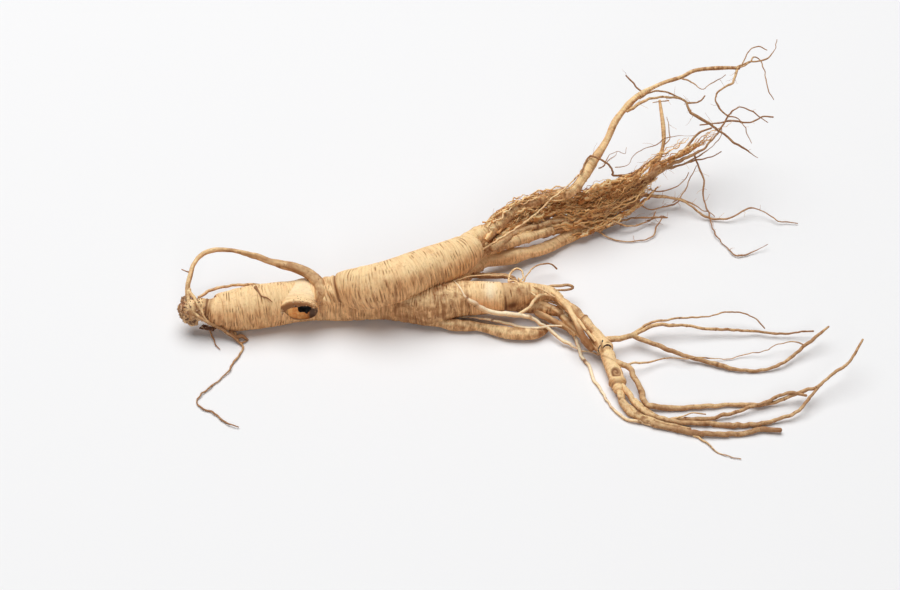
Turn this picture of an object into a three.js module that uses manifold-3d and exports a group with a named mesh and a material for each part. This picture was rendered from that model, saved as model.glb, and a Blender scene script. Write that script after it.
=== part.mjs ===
// A fresh ginseng root lying on its side, as it was dug: crown and neck at -X, main root with one
// big arm crossing over it, forked legs, and the side roots and rootlets that run out to +X.
// It grew as one piece, so it is one solid. Millimetres, +Z up, resting on z = 0.

import * as THREE from 'three';
import { mergeVertices } from 'three/addons/utils/BufferGeometryUtils.js';
import Module from 'manifold-3d';

const wasm = await Module();
wasm.setup();

// Driving dimensions
const ROOT_SCALE = 1;          // whole root against the routes below
const CENTRE_X = 34;           // middle of the root's box, in the routes' own axes
const CENTRE_Y = 12;
const THICK_SIDES = 14;        // facets round the main root and the arm
const STOUT_SIDES = 9;         // round legs and stout side roots
const THIN_SIDES = 5;          // round strands and rootlets
const RING_GAP = 9;            // longest step between rings along a root
const PATH_SAMPLES = 400;      // points that measure a route's length
const PENCIL = 0.2;            // radius of the thin tube that is swelled into a root
const WELD_GAP = 1e-4;         // corners closer than this are one
const FLOOR_SPAN = 600;        // block that shaves off what would dip below the resting plane
const FLOOR_DEPTH = 40;

// A root follows its route, a list of [x, y, z]. Its girth is a list of radii shared out evenly
// over the route's points, so two radii make a plain taper.
function radiusAlong(girth, t) {
  const place = t * (girth.length - 1);
  const before = Math.min(Math.floor(place), girth.length - 2);
  return THREE.MathUtils.lerp(girth[before], girth[before + 1], place - before);
}

function ring(sides, radius) {
  const outline = [];
  for (let i = 0; i < sides; i++) {
    const turn = (2 * Math.PI * i) / sides;
    outline.push(new THREE.Vector2(radius * Math.cos(turn), radius * Math.sin(turn)));
  }
  return new THREE.Shape(outline);
}

function rootGeometry(route, girth, sides) {
  const path = new THREE.CatmullRomCurve3(route.map((p) => new THREE.Vector3(...p)), false, 'centripetal');
  path.arcLengthDivisions = PATH_SAMPLES;
  const steps = Math.max(route.length - 1, Math.ceil(path.getLength() / RING_GAP));
  const sweep = { steps, extrudePath: path, bevelEnabled: false };
  const pencil = new THREE.ExtrudeGeometry(ring(sides, PENCIL), sweep);
  const centres = path.getSpacedPoints(steps);
  const position = pencil.getAttribute('position');
  const point = new THREE.Vector3();
  for (let i = 0; i < position.count; i++) {
    point.fromBufferAttribute(position, i);
    const gaps = centres.map((centre) => centre.distanceTo(point));
    const nearest = gaps.indexOf(Math.min(...gaps));
    const radius = radiusAlong(girth, path.getUtoTmapping(nearest / steps));
    point.sub(centres[nearest]).setLength(radius).add(centres[nearest]);
    position.setXYZ(i, point.x, point.y, point.z);
  }
  return pencil;
}

function lumpGeometry(centre, radii) {
  const lump = new THREE.IcosahedronGeometry(1, 1);
  lump.scale(...radii);
  lump.translate(...centre);
  return lump;
}

function toSolid(geometry) {
  geometry.deleteAttribute('normal');
  geometry.deleteAttribute('uv');
  const merged = mergeVertices(geometry, WELD_GAP);
  const mesh = new wasm.Mesh({
    numProp: 3,
    vertProperties: new Float32Array(merged.getAttribute('position').array),
    triVerts: new Uint32Array(merged.index.array),
  });
  return new wasm.Manifold(mesh);
}

const solids = [];

function grow(route, girth, sides = THIN_SIDES) {
  solids.push(toSolid(rootGeometry(route, girth, sides)));
}

function lump(centre, radii) {
  solids.push(toSolid(lumpGeometry(centre, radii)));
}

// Main root, from the neck to the end of the stout leg
grow(
  [
    [-127, -12, 12], [-122, -12, 11], [-118, -11, 10.5], [-111, -10, 10.4], [-101, -8, 10.8],
    [-88, -5, 10.7], [-78, -3, 10.2], [-68, -3, 9.8], [-55, -3, 9.4], [-36, -3, 9.6], [-21, -4, 10],
    [-10, -5, 10.6], [-3, -4, 11.2], [5, -3, 12], [16, -3, 12.5], [26, -3, 13], [36, -1, 13],
    [44, 0, 13], [52, 0, 13], [57, -3, 12]
  ],
  [
    4.5, 6.8, 9.3, 10.9, 11.4, 11.2, 10.6, 9.9, 9.4, 9.2, 10.1, 10.9, 10.2, 9.3, 8.8, 8.3, 6.8, 5.2,
    3.6, 2.4
  ],
  THICK_SIDES,
);

// Neck and the lumpy crown, where each year's stem left its bud scar
grow(
  [
    [-137, -12, 13], [-133, -12, 13], [-128, -11, 12.5], [-120, -11, 12]
  ],
  [4, 5.5, 4.6, 6],
  STOUT_SIDES,
);
lump([-137, -9, 17], [4, 4, 4]);
lump([-136, -15, 13], [4.2, 4.2, 4.5]);
lump([-132, -17, 9], [4.2, 3.6, 4]);
lump([-134, -11, 8], [4, 4.5, 3.6]);

// Healed stub of a cut side root, on the front of the main root
grow([[-80, -6, 12], [-78, -11, 12.6], [-77, -15, 13.2]], [9, 8.4, 7.2], STOUT_SIDES);
lump([-78, -9, 19], [5.5, 4.6, 4.4]);

// Arm: leaves the knobbly shoulder, crosses over the main root and thins into the long tail
grow(
  [
    [-71, -4, 14], [-66, -4, 16], [-59, -3, 18], [-53, -3, 20], [-45, -5, 22], [-36, -5, 24],
    [-26, -2, 25], [-16, 4, 25], [-5, 10, 25], [3, 15, 25], [9, 21, 25], [15, 27, 25], [20, 35, 25]
  ],
  [4.1, 5.7, 7.5, 9, 10.6, 11.1, 11.3, 11.1, 10.9, 10.2, 8.9, 7.2, 5.6],
  THICK_SIDES,
);
grow(
  [
    [18, 32, 25], [26, 44, 25], [32, 52, 25], [43, 58, 26], [58, 63, 28], [64, 62, 30],
    [68, 65, 32], [76, 76, 38], [85, 88, 46], [90, 96, 53], [101, 107, 60], [109, 111, 63],
    [126, 115, 68], [133, 118, 70], [149, 115, 74], [156, 112, 76]
  ],
  [5.8, 4.9, 4.4, 3.9, 3.8, 3.8, 3.5, 3, 2.7, 2.4, 1.9, 1.5, 1.2, 1.1, 1.1, 1],
  STOUT_SIDES,
);

// Forks at the end of the tail, and the branch that drops below it
grow([[155, 112, 76], [161, 115, 78], [172, 116, 80], [176, 122, 81], [178, 130, 82]], [0.9, 0.6]);
grow([[160, 114, 78], [165, 120, 78], [169, 119, 76], [171, 102, 70], [174, 97, 66]], [0.7, 0.6]);
grow(
  [
    [155, 112, 75], [147, 105, 68], [143, 102, 64], [149, 95, 57], [160, 91, 50], [163, 86, 45]
  ],
  [0.9, 0.6],
);
grow(
  [
    [96, 100, 56], [109, 107, 59], [119, 110, 58], [128, 111, 55], [130, 107, 52], [139, 103, 47],
    [155, 97, 37], [169, 95, 28]
  ],
  [1.7, 1.2, 1.1, 1, 0.9, 0.8, 0.7, 0.6],
);

// Loop root: springs from the shoulder, arches back over the crown and ends in two short forks
grow(
  [
    [-66, -4, 15], [-69, 1, 21], [-74, 4, 24], [-80, 6, 26], [-87, 7, 27], [-94, 9, 28],
    [-103, 13, 28], [-113, 17, 28], [-121, 18, 28], [-128, 16, 27], [-132, 11, 26], [-134, 5, 24],
    [-135, -2, 21], [-135, -7, 18]
  ],
  [3.2, 2.9, 2.7, 2.6, 2.2, 1.9, 1.6, 1.5, 1.4, 1.4, 1.4, 1.5, 1.6, 1.5],
  STOUT_SIDES,
);
grow(
  [
    [-135, -6, 19], [-133, -12, 17], [-129, -18, 13], [-120, -19, 8], [-115, -21, 5], [-109, -24, 2]
  ],
  [1.2, 0.7],
);
grow([[-135, -5, 19], [-132, -9, 18], [-129, -14, 17], [-126, -18, 13]], [1, 0.8]);
grow(
  [
    [-109, -24, 1.6], [-106, -28, 1], [-113, -48, 1], [-126, -66, 1], [-123, -72, 1], [-104, -85, 1]
  ],
  [0.8, 0.6],
);

// Back side root: leaves the main root under the arm, lies along the floor and turns up at its end
grow(
  [
    [-13, -1, 9], [3, 15, 8], [19, 32, 7.5], [29, 35, 7], [40, 40, 6], [50, 45, 5], [60, 53, 4],
    [71, 62, 3.3], [80, 70, 3], [87, 77, 4], [97, 86, 7], [106, 93, 10], [112, 99, 13],
    [114, 104, 16], [117, 108, 19], [119, 113, 24], [119, 119, 30], [118, 125, 36], [117, 130, 41]
  ],
  [4.5, 3.7, 3.7, 3.7, 3.5, 3.5, 3.4, 3.4, 3.3, 3, 2.8, 2.5, 2.5, 2.2, 1.7, 1.4, 1.3, 1.1, 1],
  STOUT_SIDES,
);

// Cut stub and strands that fill the space between the arm's tail and the back side root
grow(
  [
    [14, 26, 17], [21, 32, 15], [35, 41, 14], [46, 47, 13], [55, 52, 12]
  ],
  [3, 2.4, 2.7, 2.7, 2.4],
  STOUT_SIDES,
);
grow(
  [
    [20, 30, 19], [27, 34, 17], [43, 47, 16], [53, 53, 15], [66, 58, 13], [76, 65, 9], [84, 73, 4]
  ],
  [1.8, 1.5],
);
grow(
  [
    [8, 24, 20], [18, 31, 17], [32, 45, 17], [49, 59, 18], [65, 68, 18], [82, 79, 18], [99, 88, 18],
    [115, 98, 20]
  ],
  [2, 1.4],
);
grow(
  [
    [8, 22, 18], [19, 31, 15], [35, 45, 14], [54, 60, 13], [74, 72, 12], [91, 80, 13],
    [108, 92, 15], [121, 99, 21], [132, 101, 24], [147, 108, 33], [154, 117, 41], [161, 121, 43],
    [176, 115, 37]
  ],
  [2, 2, 1.8, 1.7, 1.6, 1.5, 1.5, 1.3, 1, 0.8, 0.7, 0.6, 0.6],
);
grow(
  [
    [8, 24, 24], [18, 31, 20], [29, 45, 21], [46, 56, 22], [62, 66, 22], [76, 77, 22], [92, 86, 22],
    [111, 96, 20], [121, 101, 21], [130, 106, 26], [145, 114, 34]
  ],
  [2, 1.8, 1.7, 1.6, 1.6, 1.5, 1.5, 1.4, 1.1, 0.9, 0.7],
);
grow(
  [
    [16, 27, 16], [21, 35, 13], [40, 45, 11], [60, 60, 9], [82, 72, 8], [100, 81, 6], [111, 86, 7]
  ],
  [2, 1.4],
);
grow([[26, 44, 25], [49, 63, 24], [60, 69, 25], [71, 77, 26], [78, 84, 30]], [2, 1.3]);
grow(
  [
    [104, 86, 9], [115, 84, 9], [126, 84, 8], [134, 80, 5], [141, 75, 2], [155, 74, 3],
    [165, 79, 5], [173, 77, 4], [191, 71, 2]
  ],
  [1.2, 0.6],
);

// Lower leg, split from the main root, and the darker leg behind it
grow(
  [
    [-20, -6, 6], [-12, -9, 5], [-5, -12, 3.4], [8, -13, 2.8], [18, -15, 2.9], [28, -19, 3],
    [39, -20, 2.7], [49, -19, 2.4]
  ],
  [4.5, 3.6, 2.4, 2.6, 2.8, 3.1, 2.7, 1.6],
  STOUT_SIDES,
);
grow(
  [
    [26, -2, 10], [34, -2, 8], [41, -3, 7], [49, -4, 6], [57, -7, 5], [63, -10, 4]
  ],
  [5, 4, 3.2, 3.1, 3, 2.2],
  STOUT_SIDES,
);

// Thin roots lying over and behind the stout leg
grow(
  [
    [-8, 8, 8], [-3, 12, 9], [5, 16, 9], [13, 20, 8], [24, 20, 8], [33, 17, 9], [38, 8, 11]
  ],
  [1.8, 1.2],
);
grow(
  [
    [0, -1, 19], [5, -5, 21], [12, -12, 18], [17, -13, 15], [22, -14, 13], [30, -14, 12.5],
    [37, -15, 11], [43, -15, 9.5], [52, -19, 5], [57, -24, 3], [65, -29, 2], [76, -34, 1.4]
  ],
  [1.3, 0.7],
);
grow([[10, -9, 11], [15, -14, 9], [26, -16, 8], [38, -19, 6], [46, -19, 5], [58, -17, 5]], [1.2, 0.8]);
grow([[34, 3, 14], [42, 7, 13], [53, 8, 11], [65, 10, 9]], [1.2, 0.7]);

// Twisted strands below the stout leg, the knot that they meet in, and the stout piece after it
grow(
  [
    [42, 2, 14], [47, 4, 13], [55, 0, 13], [60, -6, 13], [68, -17, 11], [73, -24, 10],
    [79, -33, 8.5]
  ],
  [3.6, 3.1, 2.9, 2.8, 2.7, 2.6, 2.3],
  STOUT_SIDES,
);
grow([[42, 0, 11], [49, 0, 10], [56, -8, 9], [61, -15, 8], [66, -22, 7], [78, -37, 7]], [2.8, 2.1]);
grow(
  [
    [42, -2, 14], [49, -2, 15], [57, -3, 15], [63, -10, 14], [66, -19, 13], [70, -28, 11],
    [76, -37, 8]
  ],
  [2.3, 1.7],
);
grow(
  [
    [74, -28, 9], [78, -34, 8], [80, -39, 6.5], [81, -44, 5.5], [83, -50, 4.4], [84, -57, 4.2],
    [84, -62, 4]
  ],
  [3, 3.8, 4.1, 3.8, 4.1, 3.8, 2.8],
  STOUT_SIDES,
);

// Long pale rootlet in front, and the fan of rootlets that lies on the floor
grow(
  [
    [60, -12, 8], [65, -25, 3], [67, -34, 1.6], [71, -44, 1], [78, -65, 1], [82, -73, 1],
    [88, -80, 1.2], [102, -84, 1], [110, -87, 1], [124, -94, 0.8], [135, -104, 0.8],
    [141, -106, 0.8]
  ],
  [1.2, 1, 1, 0.8, 0.6],
);
grow(
  [
    [84, -58, 4], [86, -70, 2.5], [91, -77, 1.6], [98, -82, 1.4], [108, -86, 1.4], [118, -89, 1.4],
    [136, -90, 1.4], [154, -87, 1.4], [162, -88, 2]
  ],
  [1.8, 1.5],
);
grow(
  [
    [85, -58, 4.4], [91, -68, 3], [95, -74, 2.2], [102, -79, 1.8], [113, -82, 1.5], [137, -84, 1.4],
    [158, -82, 1.8], [167, -79, 3], [175, -74, 4.6], [179, -69, 6], [184, -63, 8]
  ],
  [1.8, 1.5, 1.5, 1.3, 1.1, 1],
);
grow(
  [
    [82, -44, 7], [90, -49, 7], [93, -56, 6], [95, -62, 4], [97, -70, 2.6], [103, -72, 1.8],
    [112, -72, 1.5], [141, -70, 1.4], [160, -69, 2], [170, -67, 4], [177, -65, 6], [184, -63, 8],
    [189, -59, 9.5], [197, -54, 12], [203, -47, 14], [208, -39, 17]
  ],
  [1.9, 1.5, 1.5, 1.3, 1.1, 0.8],
);
grow(
  [
    [94, -70, 3], [105, -80, 2], [115, -80, 1.6], [127, -80, 1.6], [135, -78, 2], [146, -74, 3],
    [156, -71, 4], [164, -67, 5], [170, -66, 6], [177, -68, 6]
  ],
  [1.3, 0.9],
);
grow([[77, -31, 8], [86, -28, 7.5], [95, -25, 7]], [2, 1.5]);
grow(
  [
    [93, -25, 7], [100, -19, 8], [109, -16, 9], [135, -13, 9], [153, -11, 9], [162, -19, 6]
  ],
  [0.9, 0.6],
);
grow(
  [
    [93, -25, 7], [102, -21, 8], [109, -18, 8], [133, -18, 5], [149, -18, 4], [173, -19, 2.5],
    [187, -20, 5]
  ],
  [1.1, 0.7],
);
grow(
  [
    [93, -25, 7], [102, -29, 5.6], [111, -33, 4.2], [129, -39, 2.2], [137, -42, 1.6],
    [148, -45, 1.3], [159, -45, 1.3], [169, -41, 2.6], [179, -33, 5], [186, -28, 7], [194, -22, 10]
  ],
  [1.5, 1.3, 1.2, 1, 0.9],
);

// Everything grew together, so it is joined; what would dip below the floor is flat where it rests.
const cutter = new THREE.BoxGeometry(FLOOR_SPAN, FLOOR_SPAN, FLOOR_DEPTH);
cutter.translate(0, 0, -FLOOR_DEPTH / 2);
const whole = solids.reduce((joined, solid) => joined.add(solid)).subtract(toSolid(cutter));
const joined = whole.getMesh();

const geometry = new THREE.BufferGeometry();
geometry.setAttribute('position', new THREE.BufferAttribute(new Float32Array(joined.vertProperties), 3));
geometry.setIndex(new THREE.BufferAttribute(new Uint32Array(joined.triVerts), 1));
geometry.translate(-CENTRE_X, -CENTRE_Y, 0);
geometry.scale(ROOT_SCALE, ROOT_SCALE, ROOT_SCALE);
geometry.computeVertexNormals();

const skin = new THREE.MeshStandardMaterial({ color: 0xdcb887, roughness: 0.75, metalness: 0 });
const ginsengRoot = new THREE.Mesh(geometry, skin);
ginsengRoot.name = 'ginseng_root';

const root = new THREE.Group();
root.add(ginsengRoot);

export default root;
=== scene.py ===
import itertools
import math

import bmesh
import bpy
import numpy as np
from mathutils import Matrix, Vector


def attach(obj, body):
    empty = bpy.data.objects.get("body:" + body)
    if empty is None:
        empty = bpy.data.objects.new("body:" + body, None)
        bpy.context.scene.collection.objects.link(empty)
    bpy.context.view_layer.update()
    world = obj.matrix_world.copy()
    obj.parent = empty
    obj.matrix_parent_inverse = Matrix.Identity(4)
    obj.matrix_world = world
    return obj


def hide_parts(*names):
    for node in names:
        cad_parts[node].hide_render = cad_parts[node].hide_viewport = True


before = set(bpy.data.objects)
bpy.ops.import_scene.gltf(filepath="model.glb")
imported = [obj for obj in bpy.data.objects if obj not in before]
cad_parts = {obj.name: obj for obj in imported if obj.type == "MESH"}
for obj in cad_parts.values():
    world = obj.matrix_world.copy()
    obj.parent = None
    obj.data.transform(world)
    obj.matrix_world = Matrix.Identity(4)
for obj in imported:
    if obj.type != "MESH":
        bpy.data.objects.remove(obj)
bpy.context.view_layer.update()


# ---- Camera --------------------------------------------------------------------------------------
# A long lens stands in front of the root and looks down on it, so that the table fills the view.
# It looks at a point just above the table, under the arm.
AIM = Vector((-0.034, -0.012, 0.012))
CAMERA_AWAY = 1.05
CAMERA_TILT = math.radians(42)
LENS = 80.8                 # millimetres on a 36 mm sensor


def add_object(name, data):
    thing = bpy.data.objects.new(name, data)
    bpy.context.scene.collection.objects.link(thing)
    return thing


def face_aim(thing, towards, away):
    """Puts a camera or a lamp this far from the aim point in a direction, facing it."""
    thing.location = AIM + away * Vector(towards)
    thing.rotation_euler = (AIM - thing.location).to_track_quat("-Z", "Y").to_euler()


camera_data = bpy.data.cameras.new("camera")
camera_data.lens = LENS
camera_data.clip_start = 0.01
camera = add_object("camera", camera_data)
face_aim(camera, (0, -math.cos(CAMERA_TILT), math.sin(CAMERA_TILT)), CAMERA_AWAY)
bpy.context.scene.camera = camera


# ---- Table and light -----------------------------------------------------------------------------
# A wide white table runs into a white room. One large soft lamp hangs high over the root, a little
# behind it and to its left, a weak one stands in front to its right, and the room gives the rest.
TABLE_SIZE = 12.0
TABLE_WHITE = (0.84, 0.84, 0.845, 1)
ROOM_WHITE = (0.98, 0.98, 0.985, 1)
ROOM_LEVEL = 0.09
BACKDROP_LEVEL = 1.0

bpy.context.scene.view_settings.view_transform = "Standard"


def add_node(tree, kind, inputs=None, **settings):
    """A node with its settings made and its inputs filled with values or linked to other nodes."""
    node = tree.nodes.new(kind)
    for name, value in settings.items():
        setattr(node, name, value)
    for name, value in (inputs or {}).items():
        value = getattr(value, "socket", value)
        if isinstance(value, bpy.types.NodeSocket):
            tree.links.new(value, node.inputs[name])
        else:
            node.inputs[name].default_value = value
    return node


def new_material(name):
    """A material and its node tree, still empty."""
    material = bpy.data.materials.new(name)
    material.use_nodes = True
    material.node_tree.nodes.clear()
    return material, material.node_tree


def paint(tree, inputs):
    """Ends a material's tree in one Principled shader with these inputs."""
    shader = add_node(tree, "ShaderNodeBsdfPrincipled", inputs)
    add_node(tree, "ShaderNodeOutputMaterial", {"Surface": shader.outputs[0]})


half = TABLE_SIZE / 2
table_mesh = bpy.data.meshes.new("table")
table_mesh.from_pydata([(-half, -half, 0), (half, -half, 0), (half, half, 0), (-half, half, 0)], [],
                       [range(4)])
table = add_object("table", table_mesh)
table_paint, tree = new_material("table_paint")
paint(tree, {"Base Color": TABLE_WHITE, "Roughness": 0.6, "Specular IOR Level": 0.1})
table_mesh.materials.append(table_paint)

room = bpy.data.worlds.new("room")
bpy.context.scene.world = room
room.use_nodes = True
tree = room.node_tree
tree.nodes.clear()
ray = add_node(tree, "ShaderNodeLightPath").outputs
rays = {0: ray["Is Camera Ray"], 1: ray["Is Glossy Ray"]}
seen = add_node(tree, "ShaderNodeMath", rays, operation="MAXIMUM").outputs[0]
glow, backdrop = (
    add_node(tree, "ShaderNodeBackground", {"Color": ROOM_WHITE, "Strength": level}).outputs[0]
    for level in (ROOM_LEVEL, BACKDROP_LEVEL)
)
shown = add_node(tree, "ShaderNodeMixShader", {0: seen, 1: glow, 2: backdrop}).outputs[0]
add_node(tree, "ShaderNodeOutputWorld", {"Surface": shown})


def hang_lamp(name, towards, away, size, power):
    """A round soft lamp that hangs away from the aim point in a direction and faces it."""
    lamp_data = bpy.data.lights.new(name, "AREA")
    lamp_data.shape = "DISK"
    lamp_data.size = size
    lamp_data.energy = power
    face_aim(add_object(name, lamp_data), Vector(towards).normalized(), away)


hang_lamp("back_lamp", (-0.12, 0.3, 1.0), 3.2, 3.6, 128)
hang_lamp("front_lamp", (0.1, -1.0, 0.6), 3.2, 1.2, 19)


# ---- Main root and its stout side roots ----------------------------------------------------------
# Pale flesh under a thin cream skin that wrinkles in rings. The neck and its bud scars, the arm that
# lies over the main root, its tail and every stout side root grew from the same flesh: one mesh.
MM = 0.001
MIDDLE = np.array([34.0, 12.0, 0.0])   # the root's middle, in the millimetres of the routes below

# Large odd factors and shifts that scramble a cell's place into an even random value
CELL_FACTORS = np.array([374761393, 668265263, 1274126177])
SEED_FACTOR = 974711
SCRAMBLES = ((15, 2246822519), (13, 3266489917))
WORD = 2 ** 32 - 1


def to_metres(route):
    """Millimetres on the routes' axes as metres on the frame's."""
    return (np.array(route, dtype=float) - MIDDLE) * MM


def noise(places, seed):
    """Smooth noise from -1 to 1 at an array of places whose last axis is x, y, z."""
    cell = np.floor(places).astype(np.int64)
    part = places - cell
    fade = part * part * part * (part * (part * 6 - 15) + 10)
    total = np.zeros(places.shape[:-1])
    for corner in itertools.product((0, 1), repeat=3):
        spot = cell + np.array(corner)
        mixed = (spot @ CELL_FACTORS + seed * SEED_FACTOR) & WORD
        for shift, factor in SCRAMBLES:
            mixed = ((mixed ^ (mixed >> shift)) * factor) & WORD
        value = (mixed ^ (mixed >> 16)) / 2.0 ** 31 - 1
        share = np.where(np.array(corner) == 1, fade, 1 - fade).prod(axis=-1)
        total += value * share
    return total


def smooth_route(route, step, *along_it):
    """Places a step apart on a smooth curve through the route, and lists of values spread along it."""
    points = to_metres(route)
    padded = np.vstack([2 * points[0] - points[1], points, 2 * points[-1] - points[-2]])
    knots = np.concatenate([[0], np.cumsum(np.sqrt(np.linalg.norm(np.diff(padded, axis=0), axis=1)))])
    fine = np.linspace(0, 1, 25)[:-1, None]
    curve = []
    for i in range(len(points) - 1):
        k0, k1, k2, k3 = knots[i:i + 4]
        p0, p1, p2, p3 = padded[i:i + 4]
        k = k1 + fine * (k2 - k1)
        a1 = ((k1 - k) * p0 + (k - k0) * p1) / (k1 - k0)
        a2 = ((k2 - k) * p1 + (k - k1) * p2) / (k2 - k1)
        a3 = ((k3 - k) * p2 + (k - k2) * p3) / (k3 - k2)
        b1 = ((k2 - k) * a1 + (k - k0) * a2) / (k2 - k0)
        b2 = ((k3 - k) * a2 + (k - k1) * a3) / (k3 - k1)
        curve.append(((k2 - k) * b1 + (k - k1) * b2) / (k2 - k1))
    curve = np.vstack(curve + [points[-1:]])
    share = np.arange(len(curve)) / (len(curve) - 1)
    walked = np.concatenate([[0], np.cumsum(np.linalg.norm(np.diff(curve, axis=0), axis=1))])
    rings = max(3, int(round(walked[-1] / step)) + 1)
    along = np.linspace(0, walked[-1], rings)
    centres = np.stack([np.interp(along, walked, curve[:, axis]) for axis in range(3)], axis=1)
    spread = []
    for values in along_it:
        place = np.interp(along, walked, share) * (len(values) - 1)
        spread.append(np.interp(place, np.arange(len(values)), np.array(values, dtype=float)))
    return centres, along, spread


def round_tips(centres, radii, along, rings, front, back):
    """Closes both ends of a row of rings as domes, as deep as front and back times the end radius."""
    for end, depth in ((0, front), (-1, back)):
        inner = 1 if end == 0 else -2
        out = centres[end] - centres[inner]
        out = out / np.linalg.norm(out)
        turns = np.linspace(0, math.pi / 2, rings + 1)[1:]
        turns[-1] *= 0.97
        domes = centres[end] + np.outer(np.sin(turns) * radii[end] * depth, out)
        sizes = radii[end] * np.cos(turns)
        steps = np.sin(turns) * radii[end] * depth
        if end == 0:
            centres = np.vstack([domes[::-1], centres])
            radii = np.concatenate([sizes[::-1], radii])
            along = np.concatenate([(along[0] - steps)[::-1], along])
        else:
            centres = np.vstack([centres, domes])
            radii = np.concatenate([radii, sizes])
            along = np.concatenate([along, along[-1] + steps])
    return centres, radii, along


def skin_relief(along, turn, radius, seed, lumps, rings, cuts, ridges):
    """How far the skin stands out, in metres, and how dark its wrinkles are from 0 to 1. Lumps are
    broad, rings are fine wrinkles round the root, cuts the deepest of them, and ridges run along it."""
    across = np.cos(turn) * radius
    over = np.sin(turn) * radius

    def field(length, width, layer):
        places = np.stack([along / length, across / width, over / width], axis=-1) / MM
        return noise(places, seed * 17 + layer)

    furrow = field(13, 1.3, 7)
    height = lumps * (field(15, 10, 1) + 0.45 * field(5.5, 5.5, 2)) + ridges * furrow
    phase = along / (1.5 * MM) + 0.55 * field(9, 14, 3) + 0.3 * field(2.5, 5, 4)
    groove = np.clip((np.cos(2 * math.pi * phase) - 0.3) / 0.7, 0, 1) ** 1.3
    shallow = np.clip(0.5 + 0.9 * field(9, 7, 5), 0, 1) * groove
    deep = np.clip(3.0 * (field(2.6, 3.4, 6) - 0.22), 0, 1) * groove
    height = height - rings * shallow - cuts * deep
    darkness = 0.35 * shallow * min(1, rings / 0.16) + deep * min(1, cuts / 0.32)
    darkness = darkness + 0.7 * min(1, ridges / 0.3) * np.clip(-2.2 * furrow - 0.35, 0, 1)
    return height * MM, np.clip(darkness, 0, 1)


def make_limb(
    route, girth, seed, sides=24, step=0.8, lumps=0.25, rings=0.12, cuts=0.25, ridges=0.0, knots=0.0,
    front=0.7, back=0.7, tone=(0.0,), wander=0.0, tip_rings=5, shape=None,
):
    """A root along a route of points in millimetres. Girth lists its radii from end to end, and tone
    how brown it is, from 0 for pale flesh to 1 for a dark old rootlet. Below 0 it is paler than flesh."""
    centres, along, (radii, tones) = smooth_route(
        route, step * MM, girth, tone if len(tone) > 1 else tone * 2,
    )
    beads = noise(np.stack([along / (4.5 * MM), along * 0 + 0.5, along * 0 + 0.5], axis=-1), seed * 3 + 1)
    radii = radii * MM * (1 + knots * (beads + 0.8 * np.clip(beads - 0.35, 0, 1)))
    if wander:
        place = np.stack([along / (9 * MM), along * 0, along * 0], axis=-1)
        ends = np.clip(np.minimum(along, along[-1] - along) / (6 * MM), 0, 1)[:, None]
        shift = np.stack([noise(place + 7.7 * axis, seed * 5 + axis) for axis in range(3)], axis=-1)
        quick = np.stack([noise(place * 3.1 + 3.3 * axis, seed * 5 + axis) for axis in range(3)], axis=-1)
        centres = centres + (shift + 0.8 * quick) * ends * wander * MM
    centres, radii, along = round_tips(centres, radii, along, tip_rings, front, back)
    tones = np.pad(tones, tip_rings, mode="edge")
    ahead = np.gradient(centres, axis=0)
    ahead /= np.linalg.norm(ahead, axis=1)[:, None]
    side = np.zeros_like(ahead)
    start = np.cross(ahead[0], (0, 0, 1.0) if abs(ahead[0][2]) < 0.9 else (0, 1.0, 0))
    side[0] = start / np.linalg.norm(start)
    for i in range(1, len(ahead)):
        kept = side[i - 1] - ahead[i] * side[i - 1].dot(ahead[i])
        side[i] = kept / np.linalg.norm(kept)
    up = np.cross(side, ahead)
    turn = np.tile(np.arange(sides) * 2 * math.pi / sides, (len(centres), 1))
    outward = side[:, None, :] * np.cos(turn)[..., None] + up[:, None, :] * np.sin(turn)[..., None]
    girths = np.repeat(radii[:, None], sides, axis=1)
    distance = np.repeat(along[:, None], sides, axis=1)
    height, crack_and_shade = skin_relief(distance, turn, girths, seed, lumps, rings, cuts, ridges)
    marks = noise(np.stack([along / (1.7 * MM), along * 0 + 0.5, along * 0 + 3.5], axis=-1), seed * 3 + 2)
    nodes = np.clip(6 * (marks[tip_rings:-tip_rings] - 0.28), 0, 1) * np.clip(14 * (knots - 0.05), 0, 1)
    lean = 0.5 + 0.5 * np.cos(turn + np.pad(9 * beads, tip_rings)[:, None])
    nodes = np.pad(nodes, tip_rings)[:, None] * lean
    crack_and_shade = np.maximum(crack_and_shade, nodes)
    height = height + 0.22 * girths * nodes
    if shape is not None:
        more, deeper = shape(distance / MM, turn, outward)
        height = height + more * MM
        crack_and_shade = np.maximum(crack_and_shade, deeper)
    ease = np.clip(girths / (0.5 * radii.max()), 0, 1)
    points = centres[:, None, :] + outward * (girths + height * ease)[..., None]
    grain = np.stack([distance + seed * 0.31, girths * np.cos(turn), girths * np.sin(turn)], axis=-1)
    return {
        "centres": centres, "radii": radii, "rows": len(centres), "sides": sides,
        "points": points.reshape(-1, 3), "outward": outward.reshape(-1, 3), "grain": grain.reshape(-1, 3),
        "crack_and_shade": crack_and_shade.reshape(-1), "tone": np.repeat(tones, sides),
    }


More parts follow.
